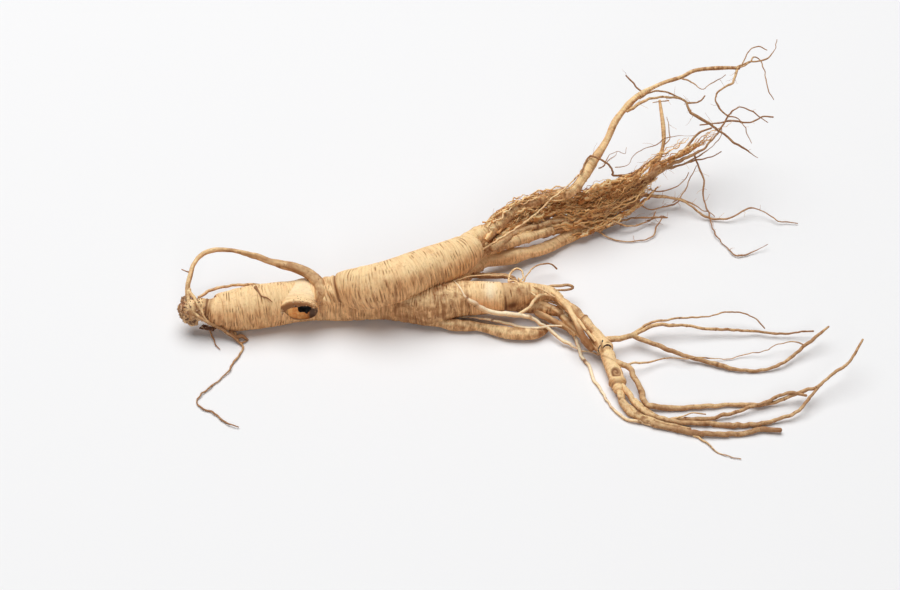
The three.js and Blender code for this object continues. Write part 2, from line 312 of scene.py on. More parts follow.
def make_lump(centre, radii, seed, tone=0.6, rough=0.2, rows=26, sides=34):
    """A knob of flesh with uneven skin, from its middle and its three radii in millimetres."""
    rise = np.linspace(-1, 1, rows)[:, None] * math.pi / 2 * 0.985
    turn = -(np.arange(sides) * 2 * math.pi / sides)[None, :]
    flat = np.cos(rise)
    out = np.stack([flat * np.cos(turn), flat * np.sin(turn), np.repeat(np.sin(rise), sides, axis=1)],
                   axis=-1)
    bumps = noise(out * 1.7 + 0.5, seed) + 0.6 * noise(out * 4.1, seed + 1)
    bumps = bumps + 0.4 * noise(out * 9, seed + 2)
    sizes = np.array(radii) * MM
    points = to_metres([centre])[0] + out * sizes * (1 + rough * bumps[..., None])
    return {
        "centres": to_metres([centre]), "radii": np.array([sizes.mean()]), "rows": rows, "sides": sides,
        "points": points.reshape(-1, 3), "outward": out.reshape(-1, 3),
        "grain": (out * sizes + seed).reshape(-1, 3),
        "crack_and_shade": np.clip(-1.1 * bumps - 0.1, 0, 1).reshape(-1),
        "tone": np.full(rows * sides, float(tone)),
    }


def gap_to(limb, places):
    """Distance from each place to a limb's skin, negative inside it."""
    gaps = np.empty(len(places))
    for first in range(0, len(places), 4000):
        some = places[first:first + 4000]
        away = np.linalg.norm(some[:, None, :] - limb["centres"][None, :, :], axis=2)
        gaps[first:first + 4000] = (away - limb["radii"][None, :]).min(axis=1)
    return gaps


def fillet(one, other, centre, size, reach):
    """Swells two limbs towards each other near a centre, as flesh does where roots part."""
    spot = to_metres([centre])[0]
    swells = []
    for limb, partner in ((one, other), (other, one)):
        gap = gap_to(partner, limb["points"])
        near = np.clip(1 - np.abs(gap) / (reach * MM), 0, 1) ** 2
        away = np.linalg.norm(limb["points"] - spot, axis=1) / (size * MM)
        swells.append(near * np.clip(1.5 - away, 0, 1) * reach * MM / 4)
    one["points"] = one["points"] + one["outward"] * swells[0][:, None]
    other["points"] = other["points"] + other["outward"] * swells[1][:, None]


def limb_faces(rows, sides):
    """Quads between the rings and a closed face at each end, all facing out."""
    faces = []
    for row in range(rows - 1):
        for i in range(sides):
            j = (i + 1) % sides
            faces.append((row * sides + i, (row + 1) * sides + i, (row + 1) * sides + j, row * sides + j))
    faces.append(tuple(range(sides)))
    faces.append(tuple((rows - 1) * sides + i for i in reversed(range(sides))))
    return faces


def limb_object(name, limbs, material):
    """A mesh object of one limb or more, with its grain, cracks and painted shade, and tone kept on
    the corners.
    """
    points = []
    faces = []
    for limb in limbs:
        first = sum(len(some) for some in points)
        points.append(limb["points"])
        faces += [tuple(first + i for i in face) for face in limb_faces(limb["rows"], limb["sides"])]
    mesh = bpy.data.meshes.new(name)
    places = np.vstack(points)
    places[:, 2] = np.maximum(places[:, 2], 0)
    mesh.from_pydata(places.tolist(), [], faces)
    corner = np.empty(len(mesh.loops), dtype=np.int32)
    mesh.loops.foreach_get("vertex_index", corner)
    for label, kind, slot in (
        ("grain", "FLOAT_VECTOR", "vector"), ("crack_and_shade", "FLOAT", "value"), ("tone", "FLOAT", "value"),
    ):
        values = np.concatenate([limb[label] for limb in limbs]).astype(np.float32)
        mesh.attributes.new(label, kind, "CORNER").data.foreach_set(slot, values[corner].ravel())
    mesh.polygons.foreach_set("use_smooth", [True] * len(mesh.polygons))
    mesh.materials.append(material)
    return add_object(name, mesh)


def plain_mesh(thing, name):
    """A plain mesh of what an object's modifiers make of it."""
    seen_by = bpy.context.evaluated_depsgraph_get()
    mesh = bpy.data.meshes.new_from_object(thing.evaluated_get(seen_by))
    mesh.name = name
    return mesh


SPLINTER = 50                # points
SHARP = math.radians(75)


def drop_splinters(mesh, fewest):
    """Takes out the loose bits of fewer points than this, which the joins leave behind."""
    shape = bmesh.new()
    shape.from_mesh(mesh)
    left = set(shape.verts)
    while left:
        bit = [left.pop()]
        for point in bit:
            beside = [edge.other_vert(point) for edge in point.link_edges]
            fresh = [other for other in beside if other in left]
            left.difference_update(fresh)
            bit += fresh
        if len(bit) < fewest:
            bmesh.ops.delete(shape, geom=bit, context="VERTS")
    shape.to_mesh(mesh)
    shape.free()


def join_flesh(name, parts, cutters):
    """Joins closed parts into one body, cuts the cutters out of it, and returns a plain mesh object."""
    first = parts[0]
    for operation, others in (("UNION", parts[1:]), ("DIFFERENCE", cutters)):
        for other in others:
            step = first.modifiers.new("join", "BOOLEAN")
            step.operation = operation
            step.solver = "MANIFOLD"
            step.material_mode = "TRANSFER"
            step.object = other
    joined = add_object(name, plain_mesh(first, name))
    for part in parts + cutters:
        bpy.data.objects.remove(part)
    drop_splinters(joined.data, SPLINTER)
    joined.data.set_sharp_from_angle(angle=SHARP)
    return joined


def bell(x, middle, width):
    """1 at the middle, falling smoothly to nothing a few widths away."""
    return np.exp(-((x - middle) / width) ** 2)


def main_shape(along, turn, outward):
    """The dark rim next to the neck, bars low on the front, and a deep crease and a pit where it thins."""
    rim = bell(along, -0.5, 1.3)
    ring = bell(along, 153, 0.7) * np.clip(1.3 - outward[..., 2], 0, 1)
    band = np.clip((along - 152.5) / 0.8, 0, 1) * np.clip((163 - along) / 8, 0, 1)
    mouth = bell(along, 156.5, 2.4) * bell(np.sin((turn - 6.2) / 2), 0, 0.17)
    bars = sum(bell(along, at, 0.8) for at in (75, 82, 92, 94.5, 99, 104, 108, 117))
    bars = bars * np.clip(-1.4 * outward[..., 1], 0, 1) * np.clip(0.6 - outward[..., 2], 0, 1)
    dark = 0.7 * rim + 0.8 * ring + mouth + 0.7 * bars + 0.4 * band
    return -0.5 * ring - 0.9 * mouth - 0.3 * bars - 0.3 * band, np.clip(dark, 0, 1)


# Its tone rises under the arm's right half, partly browner skin there and partly painted shade of the arm
main_root = make_limb(
    [
        (-124, -12, 11.6), (-121, -12, 11), (-118, -11, 10.5), (-111, -10, 10.4), (-101, -8, 10.8),
        (-88, -5, 10.7), (-78, -3, 10.2), (-68, -3, 9.8), (-55, -3, 9.4), (-36, -3, 9.6), (-21, -4, 10),
        (-10, -5, 10.6), (-3, -4, 11.2), (5, -3, 12), (16, -3, 12.5), (26, -3, 13), (36, -1, 13),
        (44, 0, 13), (52, 0, 13), (57, -3, 12),
    ],
    [6.6, 8.3, 9.6, 10.9, 11.4, 11.2, 10.6, 9.9, 9.4, 9.2, 10.1, 10.9, 10.2, 9.3, 8.8, 8.3, 6.8, 5.2, 3.6,
     2.4],
    seed=1, sides=76, step=0.42, lumps=0.35, rings=0.17, cuts=0.38, front=0.3, shape=main_shape,
    tone=(0.25, 0.05, 0, 0, 0, 0, 0.05, 0.15, 0.3, 0.5, 0.6, 0.55, 0.3, -0.6, 0.5, 0.3, 0.25, 0.3),
)


def arm_shape(along, turn, outward):
    """Knobs on the shoulder, and a deep collar crease after it."""
    knobs = bell(along, 8, 6) * (0.9 * np.sin(3 * turn + 1) + 0.7 * np.sin(5 * turn + along))
    crease = bell(along, 14.5, 0.9)
    return knobs - 1.3 * crease, crease


arm = make_limb(
    [
        (-71, -4, 14), (-66, -4, 16), (-59, -3, 18), (-53, -3, 20), (-45, -5, 22), (-36, -5, 24),
        (-26, -2, 25), (-16, 4, 25), (-5, 10, 25), (3, 14.6, 25), (7.4, 18.4, 25), (10, 20.8, 25),
    ],
    [4.1, 5.7, 7.5, 9, 10.6, 11.1, 11.3, 11.1, 10.7, 10.2, 9.4, 8.4],
    seed=2, sides=72, step=0.42, lumps=0.3, rings=0.18, cuts=0.38, back=0.85, shape=arm_shape,
    tone=(0.25, 0.05, 0, 0, 0, 0.1),
)
tail = make_limb(
    [
        (9, 25, 26), (14.5, 30.5, 26), (20, 36, 25), (25.5, 44, 25), (32, 52, 25), (43, 58, 26),
        (58, 63, 28), (64, 62, 30),
        (68, 65, 32), (76, 76, 38), (85, 88, 46), (90, 96, 53), (101, 107, 60), (109, 111, 63),
        (117, 113, 66), (126, 115, 68), (133, 118, 70), (149, 115, 74), (156, 112, 76),
    ],
    [5, 5.2, 4.7, 4.3, 3.9, 3.4, 3.3, 3.2, 3, 2.6, 2.3, 2, 1.6, 1.35, 1.2, 1.1, 1, 1, 0.9],
    seed=3, sides=26, lumps=0.5, rings=0.03, cuts=0.06, ridges=0.16, knots=0.1,
    tone=(0.05, 0.5, 0.55, 0.15, 0.1, 0.3, 0.55, 0.65),
)


def neck_shape(along, turn, outward):
    """A groove round the neck, and a dark line where it meets the main root."""
    return -0.5 * bell(along, 7.5, 0.8), np.clip(bell(along, 13, 1.3) + bell(along, 7.5, 0.9), 0, 1)


neck = make_limb(
    [(-138, -12, 13), (-135, -12, 13), (-131, -12.5, 13), (-127, -11.5, 12.5), (-120, -12, 12)],
    [3.4, 5.2, 6, 5.6, 5.4],
    seed=4, sides=44, step=0.5, lumps=0.5, rings=0.35, cuts=0.5, tone=(0.5, 0.35, 0.3, 0.3, 0.3),
    shape=neck_shape,
)
loop_root = make_limb(
    [
        (-67.5, -10.5, 15.5), (-66.6, -8.8, 18.6), (-66.8, -5, 20.6), (-69, -0.6, 22.3), (-73, 2.9, 24),
        (-78.5, 5, 25.6), (-87, 7, 27), (-94, 9, 28), (-103, 13, 28),
        (-113, 17, 28), (-121, 18, 28), (-128, 16, 27), (-132, 11, 26), (-134, 5, 24), (-135, -2, 21),
        (-135, -7, 18),
    ],
    [2.6, 3, 3, 2.9, 2.7, 2.4, 2.05, 1.65, 1.4, 1.2, 1.1, 1.05, 1, 1, 1.1, 1.2],
    seed=5, sides=26, lumps=0.25, rings=0, cuts=0, ridges=0.22, knots=0.06, wander=0.3,
    tone=(0.45, 0.55, 0.6, 0.5, 0.42, 0.32, 0.3, 0.45),
)


def stub_shape(along, turn, outward):
    """A raised rim round the scar, and dark flesh inside it, partly dried flesh and partly painted shade.
    """
    return 0.3 * bell(along, 21, 1.2), 0.75 * np.clip(along / 1.2 - 17.2, 0, 1)


# Its tone turns brown at its end, partly dead skin and partly painted shade on the end of the stub
stub = make_limb(
    [(-74.8, 5, 12), (-75.2, 0.5, 15.6), (-76.2, -6.5, 16.2), (-77, -12.5, 15.2), (-77.2, -15.6, 14.7)],
    [5, 6.4, 7.3, 8, 8],
    seed=6, sides=56, step=0.6, lumps=0.4, rings=0, cuts=0, back=0.12,
    tone=(-0.2, -0.4, -0.5, -0.1, 0.95), shape=stub_shape,
)
stretch = np.array([1.15, 1.0, 0.82])
stub["points"] = (stub["points"] - stub["centres"][-1]) * stretch + stub["centres"][-1]
flap = make_lump((-86, -14.6, 13.6), (1.1, 1.8, 3.6), 36, tone=0.45, rough=0.35, rows=16, sides=20)
lip = [
    make_lump((-75.6 + 1.8 * i, -15.9, 20 - 0.22 * i * i), (1.3, 1, 0.9), 60 + i, rough=0.6, rows=12,
              sides=16)
    for i in range(-3, 4)
]
back_root = make_limb(
    [
        (-13, -1, 9), (3, 15, 8), (19, 32, 7.5), (29, 35, 7), (40, 40, 6), (50, 45, 5), (60, 53, 4),
        (71, 62, 3.6), (80, 70, 3.4), (87, 77, 4), (97, 86, 7), (106, 93, 10), (112, 99, 13),
        (114, 104, 16), (117, 108, 19), (119, 113, 24), (119, 119, 30), (118, 125, 36), (117, 130, 41),
    ],
    [4.5, 3.8, 3.8, 3.8, 3.6, 3.6, 3.5, 3.5, 3.3, 3, 2.7, 2.3, 2.2, 1.8, 1.3, 1.1, 1, 0.85, 0.75],
    seed=7, sides=28, lumps=0.5, rings=0.02, cuts=0.05, ridges=0.14, knots=0.1,
    tone=(0, 0, 0.1, 0.35, 0.75, 0.5, 0.15, 0.1),
)
lower_leg = make_limb(
    [
        (-24, -5, 7), (-20, -7, 6), (-12, -10.5, 5), (-5, -13, 4), (4, -14, 3.5), (14, -14.5, 3.2),
        (24, -17.6, 3.2), (31, -19.8, 3.4), (38, -20.6, 3.4), (43.5, -20.4, 3.3), (47.5, -18.4, 3.3),
        (50.5, -15.6, 3.6),
    ],
    [5, 4.2, 3.2, 2.3, 2.8, 2.8, 3.1, 3.2, 3.1, 2.8, 2.4, 1.7],
    seed=8, sides=34, step=0.7, lumps=0.6, rings=0.05, cuts=0.15, knots=0.06, back=0.9,
    tone=(0.1, 0.25, 0.4, 0.45, 0.3, 0.35, 0.5, 0.95),
)
dark_leg = make_limb(
    [(26, -2, 10), (34, -3, 8.6), (41, -4.2, 8), (49, -5.4, 7.4), (55, -7, 7), (60, -9.5, 6.5)],
    [5, 4.4, 3.9, 3.6, 3, 2],
    seed=9, sides=34, step=0.7, lumps=0.6, rings=0.1, cuts=0.3, ridges=0.15, tone=(0.3, 0.45, 0.4, 0.6),
)
cut_root = make_limb(
    [(12, 24, 18), (21, 32, 15), (35, 41, 14), (46, 47, 13), (55, 52, 12)], [3, 2.4, 2.7, 2.7, 2.4],
    seed=10, sides=28, lumps=0.5, rings=0.02, cuts=0.05, ridges=0.12, back=0.5,
    tone=(0.35, 0.2, 0.15, 0.5),
)
# The stout one on the right, then those that twist over it from the end of the main root
strand_routes = [
    ([(48, 2, 13), (53, 0.8, 12), (58, -3.5, 11), (63.5, -10.5, 11), (68.4, -17, 10.5), (72.7, -23, 10),
      (76.5, -29.2, 9.5), (78.5, -34, 8.5)], [2.6, 2.3, 2.2, 2.4, 2.6, 2.5, 2.5, 2.6],
      (0.2, 0.35, 0.55, 0.35, 0.3)),
    ([(42, -1, 14), (48, 1, 14.5), (51, 0.9, 14.4), (55, -3.8, 14.2), (58.3, -9.2, 14.2),
      (61.3, -13.4, 13.6), (63.3, -18.7, 13.6), (64.6, -24, 13.6), (66, -28, 12.5), (68.8, -33, 10.6),
      (72, -37, 8.5)],
     [2.8, 2.5, 2, 2, 2.1, 1.7, 1.7, 1.4, 1.7, 1.8, 1.6], (0.1, 0.05, 0.15, 0.1, 0.25, 0.85, 0.9)),
    ([(42, -2, 11), (50, -5, 9), (56, -9, 8), (60, -14, 7), (64, -20, 6.5), (70, -29, 6.5),
      (75, -35, 6.5)],
     [2.6, 2, 1.6, 1.6], (0.3, 0.35, 0.4, 0.5)),
    ([(45, -8, 7), (50, -11, 6), (55, -13.5, 5), (60, -17.5, 5), (64, -23, 5.4)], [1.6, 1.9, 1.5, 1.2],
     (0.3, 0.4, 0.5)),
    ([(60, -12, 13), (64.6, -18.7, 13), (67.4, -24, 12.8), (70.3, -29, 12), (73.5, -33, 10)],
     [1, 1.1, 1.1, 1.2], (0.1, 0.2, 0.1)),
]
strands = [
    make_limb(route, girth, seed=11 + i, sides=22, step=0.7, lumps=0.3, rings=0, cuts=0, ridges=0.3,
              knots=0.16, tone=tone, wander=0.35)
    for i, (route, girth, tone) in enumerate(strand_routes)
]

# Knotty brown roots that run inside the fibre bundle
for route, girth in (
    ([(19, 29, 17), (30, 40, 15), (41, 49, 13), (53, 56, 12), (65, 62, 11.5), (77, 67, 12), (88, 73, 14),
      (99, 80, 16), (108, 87, 20), (115, 92, 24)], [2, 2.2, 2.3, 2.4, 2.7, 2.8, 2.6, 2.2, 1.7, 1.3]),
    ([(21, 35, 20), (30, 47, 18), (42, 56, 17), (55, 62, 17), (67, 66, 18), (80, 72, 19), (92, 78, 20),
      (103, 85, 24)],
     [1.6, 1.9, 2.1, 2.3, 2.5, 2.4, 2, 1.4]),
    ([(50, 52, 9), (62, 58, 8), (73, 64, 7), (84, 70, 7.5), (95, 76, 9), (106, 84, 12)],
     [1.6, 2.2, 2.4, 2.4, 2, 1.5]),
):
    strands.append(make_limb(
        route, girth, seed=130 + len(strands), sides=24, step=0.7, lumps=0.8, rings=0.1, cuts=0.2,
        ridges=0.5, knots=0.25, tone=(0.5, 0.6, 0.65, 0.65, 0.6), wander=1.2,
    ))


def knot_shape(along, turn, outward):
    """Two swollen collars, the brown curl of a lost rootlet's scar, a cut, an edge and a stripe."""
    collars = 0.8 * bell(along, 9, 1.6) - 0.6 * bell(along, 12, 0.8) + 0.9 * bell(along, 31.5, 1.3)
    crease = bell(along, 34, 0.8)
    across, down = (turn - 1.4) / 0.86, (along - 27.6) / 4.2
    away = np.hypot(down, across)
    curl = 0.5 + 0.5 * np.cos(9 * away - np.arctan2(across, down) - 1.2)
    eye = np.clip(5 * (1 - away), 0, 1) * (0.85 + 0.35 * curl)
    cut = bell(turn + 0.08 * (along - 9), 0.82, 0.2) * bell(along, 9, 3.4)
    edge = bell(along, 8.4, 0.5) * bell(turn, 1.9, 0.45)
    stripe = bell(along - 3.5 * turn, 13.2, 0.7) * np.clip(outward[..., 2] + 0.6, 0, 1)
    dark = 0.8 * crease + 0.85 * eye + cut + edge + 0.55 * stripe
    return collars - 0.7 * crease - 0.4 * eye * curl - 0.7 * cut - 0.5 * edge, np.clip(dark, 0, 1)


knot = make_limb(
    [
        (74, -28, 9), (78, -34, 8), (80, -39, 6.5), (81, -44, 5.5), (83, -50, 4.4), (84, -57, 4.2),
        (84, -62, 4),
    ],
    [3, 3.8, 4.1, 3.8, 4.1, 3.8, 2.8],
    seed=15, sides=40, step=0.5, lumps=0.3, rings=0, cuts=0, ridges=0.12, shape=knot_shape,
    tone=(0.15, -0.1, -0.25, -0.2, -0.2, 0.1),
)
litter = [
    make_lump((-126.4, -17.5, 5.4), (2.4, 1.4, 0.8), 37, rough=0.4),
    make_lump((-123, -18, 5), (2.3, 1.2, 0.8), 38, rough=0.4),
    make_lump((-123.4, -17.2, 12.4), (1.7, 1.3, 1.2), 39, rough=0.3),
]
for shred in litter:
    shred["crack_and_shade"] = np.clip(shred["crack_and_shade"] + 0.75, 0, 1)
crown = [make_lump(middle, radii, seed) for middle, radii, seed in (
    ((-135.8, -9.4, 16.4), (2.6, 2.8, 3), 21), ((-137, -12.3, 15), (2.5, 2.7, 2.8), 22),
    ((-137, -14.6, 12), (2.3, 2.5, 2.6), 29), ((-135, -16, 10.6), (2.6, 2.5, 2.6), 23),
    ((-132.3, -16.8, 9), (2.6, 2.3, 2.5), 24), ((-136.2, -11.2, 10), (2.6, 3, 2.7), 25),
    ((-132.8, -11.2, 8.6), (3.4, 3.8, 2.8), 26), ((-134, -7.6, 12), (3, 2.9, 3.2), 27),
    ((-129.5, -17.4, 12), (1.7, 1.5, 1.9), 28), ((-133.6, -16, 14.6), (1.8, 1.7, 1.9), 30),
)]
fillet(main_root, arm, (-62, -4, 14), 26, 7)
fillet(arm, tail, (10, 27, 26), 6, 3)
fillet(main_root, stub, (-78, -8, 14), 14, 4)
fillet(main_root, lower_leg, (-16, -8, 6), 12, 3)


class Value:
    """A node's output. Arithmetic on it adds the maths nodes that do the same in its tree."""

    maths_node = "ShaderNodeMath"

    def __init__(self, socket):
        self.socket = socket
        self.tree = socket.id_data

    def maths(self, operation, other=0.0, other_first=False):
        pair = (other, self) if other_first else (self, other)
        node = add_node(self.tree, self.maths_node, dict(enumerate(pair)), operation=operation)
        return type(self)(node.outputs[0])

    def __add__(self, other):
        return self.maths("ADD", other)

    def __sub__(self, other):
        return self.maths("SUBTRACT", other)

    def __rsub__(self, other):
        return self.maths("SUBTRACT", other, other_first=True)

    def __mul__(self, other):
        return self.maths("MULTIPLY", other)

    def __truediv__(self, other):
        return self.maths("DIVIDE", other)

    def clamp(self, highest=1.0):
        return Value(add_node(self.tree, "ShaderNodeClamp", {"Value": self, "Max": highest}).outputs[0])

    def ramp(self, low, high):
        """0 below low, 1 above high, and smooth between."""
        span = {"Value": self, "From Min": low, "From Max": high}
        node = add_node(self.tree, "ShaderNodeMapRange", span, interpolation_type="SMOOTHSTEP")
        return Value(node.outputs["Result"])

    def spread(self, first, last, low=0.0, high=1.0):
        """From first to last in a straight line, as the value goes from low to high."""
        span = {"Value": self, "From Min": low, "From Max": high, "To Min": first, "To Max": last}
        return Value(add_node(self.tree, "ShaderNodeMapRange", span).outputs["Result"])


def mix_colour(share, first, second):
    inputs = {0: share, 6: first, 7: second}
    return add_node(share.tree, "ShaderNodeMix", inputs, data_type="RGBA").outputs[2]


def object_noise(tree, scale, detail, distortion=0.0):
    """Noise from 0 to 1 on the piece's own coordinates."""
    spot = add_node(tree, "ShaderNodeTexCoord").outputs["Object"]
    inputs = {"Vector": spot, "Scale": scale, "Detail": detail, "Distortion": distortion}
    return Value(add_node(tree, "ShaderNodeTexNoise", inputs).outputs["Fac"])


def open_group(kind, name, takes, gives):
    """A new node group with its named sockets, and its inputs by name."""
    group = bpy.data.node_groups.new(name, kind)
    for label, sort in gives:
        group.interface.new_socket(name=label, in_out="OUTPUT", socket_type="NodeSocket" + sort)
    for label, sort, value in takes:
        made = group.interface.new_socket(name=label, in_out="INPUT", socket_type="NodeSocket" + sort)
        if value is not None:
            made.default_value = value
    inputs = group.nodes.new("NodeGroupInput").outputs
    return group, {take[0]: Value(inputs[take[0]]) for take in takes}


# Skin look: cream skin with painted shade that turns it warmer down its sides and browner underneath,
# with fine tan streaks and brown bars that run round the root with the grain, dark wrinkles, and a
# browner, duller skin where the root is old.
look, give = open_group("ShaderNodeTree", "skin_look", [
    ("Grain", "Vector", None),
    ("Crack", "Float", 0.0),
    ("Tone", "Float", 0.0),
    ("Cream", "Color", (0.95, 0.69, 0.37, 1)),
    ("Pale", "Color", (0.97, 0.82, 0.57, 1)),
    ("Warm", "Color", (0.94, 0.52, 0.23, 1)),
    ("Tan", "Color", (0.52, 0.225, 0.085, 1)),
    ("Brown", "Color", (0.27, 0.10, 0.037, 1)),
    ("Old", "Color", (0.30, 0.12, 0.042, 1)),
    ("Ring Length", "Float", 0.0009),
    ("Ring Width", "Float", 0.007),
    ("Streaks", "Float", 1.0),
    ("Soil", "Float", 0.3),
    ("Wear", "Float", 1.4),
], [("Color", "Color"), ("Roughness", "Float"), ("Height", "Float")])


def stretched_noise(length_share, width_share, detail, roughness):
    """Noise drawn out round the root: lengths and widths are shares of the group's ring sizes."""
    width = give["Ring Width"] * width_share
    sizes = {"X": give["Ring Length"] * length_share, "Y": width, "Z": width}
    pair = {0: give["Grain"], 1: add_node(look, "ShaderNodeCombineXYZ", sizes).outputs[0]}
    scaled = add_node(look, "ShaderNodeVectorMath", pair, operation="DIVIDE").outputs[0]
    inputs = {"Vector": scaled, "Scale": 1.0, "Detail": detail, "Roughness": roughness}
    return Value(add_node(look, "ShaderNodeTexNoise", inputs).outputs["Fac"])


fine = stretched_noise(0.95, 1.0, 3.0, 0.6)
broad = stretched_noise(1.5, 2.0, 2.0, 0.5)
slit = stretched_noise(1.1, 1.3, 1.0, 0.5)
patch = object_noise(look, 75.0, 4.0)
mottle = object_noise(look, 300.0, 3.0)
speckle = object_noise(look, 850.0, 2.0)
pit = object_noise(look, 520.0, 1.0)
facing = add_node(look, "ShaderNodeNewGeometry").outputs["Normal"]
upness = Value(add_node(look, "ShaderNodeSeparateXYZ", {"Vector": facing}).outputs["Z"])
# How much the skin faces sideways or down, from its normal: the mask of the painted side shade
side = upness.ramp(0.92, 0.3)
tone = give["Tone"]
# Streaks and bars show less on top and more down the sides, with the painted side shade
streaks = give["Streaks"] * tone.ramp(-0.8, -0.05) * side.spread(0.3, 0.85)

# From pale to warm down the sides as painted shade, then streaks, bars, soil in patches and
# painted shade underneath, and dust
colour = mix_colour(tone.ramp(-0.1, -0.8), give["Cream"], give["Pale"])
warm_patches_and_side_shade = side * 0.8 + (patch - 0.5) + (mottle - 0.45) * 0.5
colour = mix_colour(warm_patches_and_side_shade.clamp(), colour, give["Warm"])
colour = mix_colour(fine.ramp(0.44, 0.62) * streaks * 0.85, colour, give["Tan"])
colour = mix_colour(broad.ramp(0.52, 0.68) * (streaks * side) * 0.55, colour, give["Brown"])
soil_and_underside_shade = (patch.ramp(0.54, 0.8) + upness.ramp(0.3, -0.6)) * give["Soil"]
colour = mix_colour(soil_and_underside_shade.clamp(), colour, give["Brown"])
colour = mix_colour(speckle.ramp(0.54, 0.75) * 0.25, colour, give["Brown"])

# Old skin where the tone is high, then fine dark lines, wrinkles and the painted shade that the mesh
# keeps with them, and pits
worn = patch * 0.3 + mottle * 0.9 - 0.9 + broad * 0.6
age = (tone + worn * give["Wear"]).ramp(0.1, 0.95) * tone.ramp(0.0, 0.15)
colour = mix_colour(age, colour, give["Old"])
line = (slit - 0.5).maths("ABSOLUTE").ramp(0.03, 0.0) * broad.ramp(0.45, 0.62) * streaks * 0.8
pits = pit.ramp(0.62, 0.7) * tone.ramp(0.05, 0.6)
dark = line.maths("MAXIMUM", give["Crack"] * 0.95).maths("MAXIMUM", pits * 0.7)
colour = mix_colour(dark, colour, mix_colour(dark, (0.50, 0.22, 0.075, 1), (0.17, 0.06, 0.019, 1)))
add_node(look, "NodeGroupOutput", {
    "Color": colour, "Roughness": fine.spread(0.55, 0.75),
    "Height": fine * -0.6 - dark * 0.7 + speckle * 0.25,
})


def raised(tree, height, strength, depth):
    bump = {"Height": height, "Strength": strength, "Distance": depth}
    return add_node(tree, "ShaderNodeBump", bump).outputs["Normal"]


def kept(tree, name, socket="Fac"):
    """What the mesh keeps under this name."""
    return Value(add_node(tree, "ShaderNodeAttribute", attribute_name=name).outputs[socket])


def skin_material(name, bump, shine, values):
    """Root skin: the shared look with this root's own values, on slightly see-through flesh."""
    material, tree = new_material(name)
    marks = {"Grain": kept(tree, "grain", "Vector"), "Crack": kept(tree, "crack_and_shade"),
             "Tone": kept(tree, "tone")}
    skin_look = add_node(tree, "ShaderNodeGroup", {**marks, **values}, node_tree=look).outputs
    paint(tree, {
        "Base Color": skin_look["Color"], "Roughness": skin_look["Roughness"],
        "Normal": raised(tree, skin_look["Height"], bump, 0.0005), "Specular IOR Level": shine,
        "Subsurface Weight": 0.12, "Subsurface Radius": (1.0, 0.5, 0.25), "Subsurface Scale": 0.0015,
    })
    return material


root_skin = skin_material("root_skin", 0.6, 0.25, {"Soil": 0.18})
branch_skin = skin_material("branch_skin", 0.6, 0.25, {"Ring Width": 0.0024, "Streaks": 0.75})
old_skin = skin_material("old_skin", 0.7, 0.25, {
    "Ring Length": 0.007, "Ring Width": 0.0011, "Streaks": 0.9, "Soil": 0.4, "Wear": 0.8,
})

# Bud scars: a stack of old leaf scars, purple-brown in their hollows and pale along their ridges
bud_skin, tree = new_material("bud_skin")
fold = object_noise(tree, 420.0, 4.0, 1.2)
stain = object_noise(tree, 120.0, 2.0)
colour = mix_colour(stain.ramp(0.35, 0.65), (0.38, 0.17, 0.08, 1), (0.66, 0.38, 0.18, 1))
colour = mix_colour(fold.ramp(0.54, 0.66), colour, (0.86, 0.60, 0.36, 1))
colour = mix_colour(fold.ramp(0.48, 0.36), colour, (0.06, 0.025, 0.016, 1))
colour = mix_colour(kept(tree, "crack_and_shade"), colour, (0.075, 0.028, 0.016, 1))
paint(tree, {
    "Base Color": colour, "Roughness": fold.spread(0.5, 0.8), "Normal": raised(tree, fold, 0.8, 0.0006),
    "Specular IOR Level": 0.25,
})

# Scar: a hollow of dried orange flesh, dark at one side, round a near-black hole
scar_flesh, tree = new_material("scar_flesh")
fibre = object_noise(tree, 420.0, 4.0, 0.6)
blot = object_noise(tree, 160.0, 3.0)
hole = kept(tree, "tone")
colour = mix_colour(fibre.ramp(0.35, 0.65), (0.80, 0.26, 0.05, 1), (0.97, 0.50, 0.16, 1))
colour = mix_colour((hole + (blot - 0.5) * 0.8).ramp(0.25, 0.6), colour, (0.10, 0.045, 0.022, 1))
colour = mix_colour(hole.ramp(0.75, 1.0), colour, (0.012, 0.01, 0.009, 1))
paint(tree, {
    "Base Color": colour, "Roughness": fibre.spread(0.4, 0.75),
    "Normal": raised(tree, fibre, 0.7, 0.0006), "Specular IOR Level": 0.4,
})

scar_dish = make_lump((-75.9, -18.2, 14), (9.4, 5.8, 5.7), 31, tone=0.0, rough=0.1, rows=26, sides=44)
along_x = (scar_dish["points"][:, 0] / MM + MIDDLE[0] + 76) / 8.4
scar_dish["tone"] = np.clip(1.2 * along_x, 0, 0.62) + 0.6 * bell(along_x, -0.95, 0.16)
scar_hole = make_lump((-74.9, -13.6, 15.7), (3.9, 5.2, 4.5), 32, tone=1.0, rough=0.15, rows=20, sides=32)

# Two splits in the skin of the knot
skin_split = make_limb(
    [(77.3, -34.2, 12.1), (76.7, -35.8, 11.5), (75.5, -37.3, 10.4), (75, -38.1, 8.8), (75.7, -38.7, 7)],
    [0.65, 0.45, 0.6, 0.5, 0.4], seed=33, sides=10, step=0.5, lumps=0, tone=(0.9, 1),
)
collar_split = make_limb(
    [(76.7, -38.9, 9.8), (78.4, -38, 11.6), (80.5, -37.2, 11.4), (82, -37.6, 10.3)],
    [0.35, 0.5, 0.65, 0.5], seed=34, sides=10, step=0.5, lumps=0, tone=(0.7, 0.9),
)

flesh_parts = [
    (root_skin, [main_root, arm, neck, stub]),
    (branch_skin, [tail, back_root, lower_leg, dark_leg, cut_root, knot]),
    (old_skin, [loop_root, *strands]),
    (bud_skin, [flap, *lip, *crown, *litter]),
]
cuts = [scar_dish, scar_hole, skin_split, collar_split]
root_flesh = join_flesh(
    "root_flesh",
    [limb_object("part", [limb], skin) for skin, limbs in flesh_parts for limb in limbs],
    [limb_object("cutter", [limb], scar_flesh) for limb in cuts],
)
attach(root_flesh, "root")
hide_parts("ginseng_root")


